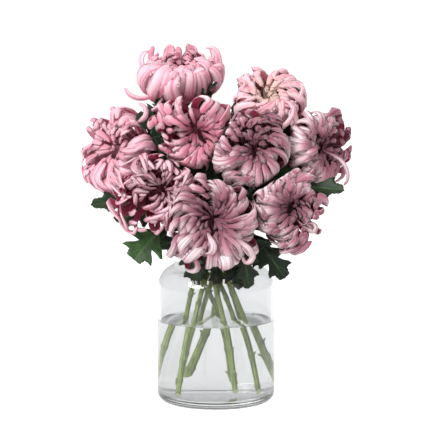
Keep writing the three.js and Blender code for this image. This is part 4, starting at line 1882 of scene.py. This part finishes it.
LEAVES = {
    1: [
        gap_leaf(0.85, (-74, 20, 376), (0.0, -1.0, 0.3), 17, 0.1),
        gap_leaf(0.88, (-8, 24, 386), (0.2, -0.9, 0.4), 16, 0.15),
        gap_leaf(0.8, (-40, 8, 366), (0.0, -1.0, 0.2), 16, 0.35),
        Leaf(0.74, (-88, 96, 356), (-0.3, 0.8, 0.5), 22),
    ],
    2: [
        Leaf(0.72, (-154, -12, 246), (-0.1, -0.75, 0.65), 21),
        gap_leaf(0.7, (-126, -16, 230), (0.0, -0.9, 0.4), 20, 0.05),
        gap_leaf(0.7, (-76, -12, 330), (0.0, -1.0, 0.0), 27, 0.05),
        Leaf(0.85, (-150, 72, 262), (-0.4, 0.8, 0.4), 20),
    ],
    3: [
        gap_leaf(0.85, (-98, 4, 356), (-0.2, -0.9, 0.4), 19, 0.2),
        gap_leaf(0.7, (-84, -14, 296), (-0.2, -1.0, 0.0), 18, 0.0),
        gap_leaf(0.6, (-28, -22, 304), (0.0, -1.0, 0.0), 27, 0.05),
        gap_leaf(0.58, (-8, -24, 302), (0.2, -1.0, 0.0), 27, 0.05),
        gap_leaf(0.64, (-56, -24, 304), (-0.3, -1.0, 0.0), 25, 0.05),
        Leaf(0.72, (-40, 92, 268), (-0.1, 0.9, 0.4), 24),
    ],
    4: [
        Leaf(0.82, (-100, -48, 183), (-0.2, -0.95, 0.2), 30, 0.42),
        Leaf(0.74, (-20, -60, 152), (-0.3, -0.95, 0.2), 18, 0.15, arch=0.42),
        gap_leaf(0.7, (-68, -50, 200), (-0.1, -1.0, 0.1), 17, 0.1),
        gap_leaf(0.6, (-50, -56, 240), (0.1, -1.0, 0.1), 27, 0.05),
    ],
    5: [
        Leaf(0.86, (-22, -26, 154), (-0.3, -0.95, 0.0), 15, 0.15),
        Leaf(0.84, (2, -30, 150), (0.0, -1.0, 0.0), 14, 0.05),
        Leaf(0.8, (32, -18, 144), (0.2, -1.0, 0.0), 16, 0.2),
    ],
    6: [
        Leaf(0.8, (84, -48, 160), (0.2, -0.95, 0.2), 22, 0.1),
        Leaf(0.76, (40, -62, 150), (0.1, -0.95, 0.2), 18, 0.16, arch=0.42),
        Leaf(0.76, (60, -46, 176), (0.1, -1.0, 0.0), 18, 0.0),
        gap_leaf(0.64, (52, -52, 240), (0.1, -1.0, 0.0), 26, 0.05),
        Leaf(0.9, (99, -28, 190), (0.3, -0.9, 0.0), 15, 0.1),
        gap_leaf(0.85, (68, -34, 282), (0.1, -1.0, 0.2), 17, 0.3),
    ],
    7: [
        Leaf(0.76, (156, -38, 266), (0.1, -0.8, 0.6), 20),
        gap_leaf(0.7, (130, -24, 258), (0.1, -0.9, 0.4), 21, 0.1),
        gap_leaf(0.85, (90, 18, 345), (0.1, -1.0, 0.1), 15, 0.05),
        gap_leaf(0.8, (86, -6, 322), (0.1, -1.0, 0.1), 19, 0.1),
        Leaf(0.86, (150, 62, 268), (0.4, 0.8, 0.4), 20),
    ],
    8: [
        gap_leaf(0.88, (22, 6, 370), (0.0, -1.0, 0.2), 17, 0.1),
        gap_leaf(0.8, (52, 2, 344), (0.1, -1.0, 0.2), 17, 0.0),
        Leaf(0.78, (92, 92, 330), (0.3, 0.8, 0.5), 22),
        Leaf(0.62, (6, 96, 322), (0.0, 0.8, 0.5), 22),
    ],
    9: [
        Leaf(0.6, (40, -14, 142), (0.2, -0.95, 0.0), 14),
        gap_leaf(0.85, (6, -4, 348), (0.0, -1.0, 0.1), 18, 0.0),
        gap_leaf(0.7, (-10, -34, 266), (0.0, -1.0, 0.2), 20, 0.0),
        gap_leaf(0.66, (16, -30, 302), (0.0, -1.0, 0.0), 27, 0.05),
        gap_leaf(0.8, (106, -16, 297), (0.2, -0.9, 0.4), 20, 0.45),
        Leaf(0.76, (44, 98, 262), (0.2, 0.9, 0.4), 24),
    ],
}


# ---------------------------------------------------------------------------------------------------------
# Studio
# ---------------------------------------------------------------------------------------------------------


@dataclass
class Studio:
    """The pale floor, the soft lamps, the pale surroundings and the camera."""

    floor_r: float = 8000.0
    floor_gap: float = 0.2
    camera_at: Point = (-1.109, -2200.0, 465.2)
    camera_pitch: float = 6.046
    focal_px: float = 1784.9
    frame_px: float = 430.0
    sensor_mm: float = 36.0
    # The surroundings as a light, as the glass mirrors them, and as they are seen, also through the glass
    world_strength: float = 0.8
    mirrored_strength: float = 0.5
    backdrop_strength: float = 1.02
    # The lamp over the photographer's left shoulder: the way to it, how wide it looks, and its strength
    key_way: Point = (-0.6, -0.66, 0.75)
    key_spread: float = 40.0
    key_strength: float = 3.7

    def floor(self) -> None:
        """Lays the floor: a wide disc, level with the jar's underside."""
        angle = circle(64)
        rim = np.stack([np.cos(angle), np.sin(angle), np.zeros(64)], axis=-1) * self.floor_r * MM
        mesh = bpy.data.meshes.new("floor")
        mesh.from_pydata(rim.tolist(), [], [list(range(64))])
        mesh.materials.append(FloorFinish().build())
        floor = bpy.data.objects.new("floor", mesh)
        floor.location.z = -self.floor_gap * MM
        bpy.context.scene.collection.objects.link(floor)

    def lamp(self) -> None:
        """Hangs the far, soft key lamp, which lights everything evenly."""
        data = bpy.data.lights.new("key", "SUN")
        data.angle = math.radians(self.key_spread)
        data.energy = self.key_strength
        lamp = bpy.data.objects.new("key", data)
        z = unit(np.array(self.key_way, float))
        x = unit(np.cross([0.0, 1.0, 0.0], z))
        lamp.matrix_world = Matrix(np.column_stack([x, np.cross(z, x), z]).tolist()).to_4x4()
        bpy.context.scene.collection.objects.link(lamp)

    def camera(self) -> None:
        """Sets the camera at the photograph's angle."""
        data = bpy.data.cameras.new("camera")
        data.sensor_width = self.sensor_mm
        data.lens = self.focal_px * self.sensor_mm / self.frame_px
        data.clip_start, data.clip_end = 0.1, 100.0
        camera = bpy.data.objects.new("camera", data)
        camera.location = [c * MM for c in self.camera_at]
        camera.rotation_euler = (math.radians(90.0 - self.camera_pitch), 0.0, 0.0)
        bpy.context.scene.collection.objects.link(camera)
        bpy.context.scene.camera = camera

    def build(self) -> None:
        """Makes the whole studio."""
        scene = bpy.context.scene
        scene.view_settings.view_transform = "Standard"
        world = bpy.data.worlds.new("studio")
        scene.world = world
        world.use_nodes = True
        world.node_tree.nodes.clear()
        add = partial(add_node, world.node_tree)
        white = (1.0, 1.0, 1.0, 1.0)
        rays = add("LightPath").node.outputs
        seen = add("Math", {0: rays["Is Camera Ray"], 1: rays["Is Transmission Ray"]}, operation="MAXIMUM")
        surface = add("Background", {"Color": white, "Strength": self.world_strength})
        # What the glass mirrors is darker, which draws its edges, and what lies behind it is the backdrop
        mirrored = (self.mirrored_strength, rays["Is Glossy Ray"])
        for strength, share in (mirrored, (self.backdrop_strength, seen)):
            part = add("Background", {"Color": white, "Strength": strength})
            surface = add("MixShader", {0: share, 1: surface, 2: part})
        add("OutputWorld", {"Surface": surface})
        self.floor()
        self.lamp()
        self.camera()


def main() -> None:
    """Builds every piece in order and reports each one."""
    logging.basicConfig(level=logging.INFO, format="%(message)s")
    Studio().build()
    Jar().build(FLINT_GLASS.build(), FRESH_WATER.build())
    petals = {colouring: colouring.value.build() for colouring in Colouring}
    for bloom in BLOOMS:
        bloom.build([other for other in BLOOMS if other is not bloom], petals[bloom.colouring])
    woody, green = StemFinish().build(), LeafFinish().build()
    for bloom in BLOOMS:
        Stem(bloom, STEM_WAYS[bloom.number], LEAVES[bloom.number]).build(BLOOMS, woody, green)


if __name__ == "__main__":
    main()
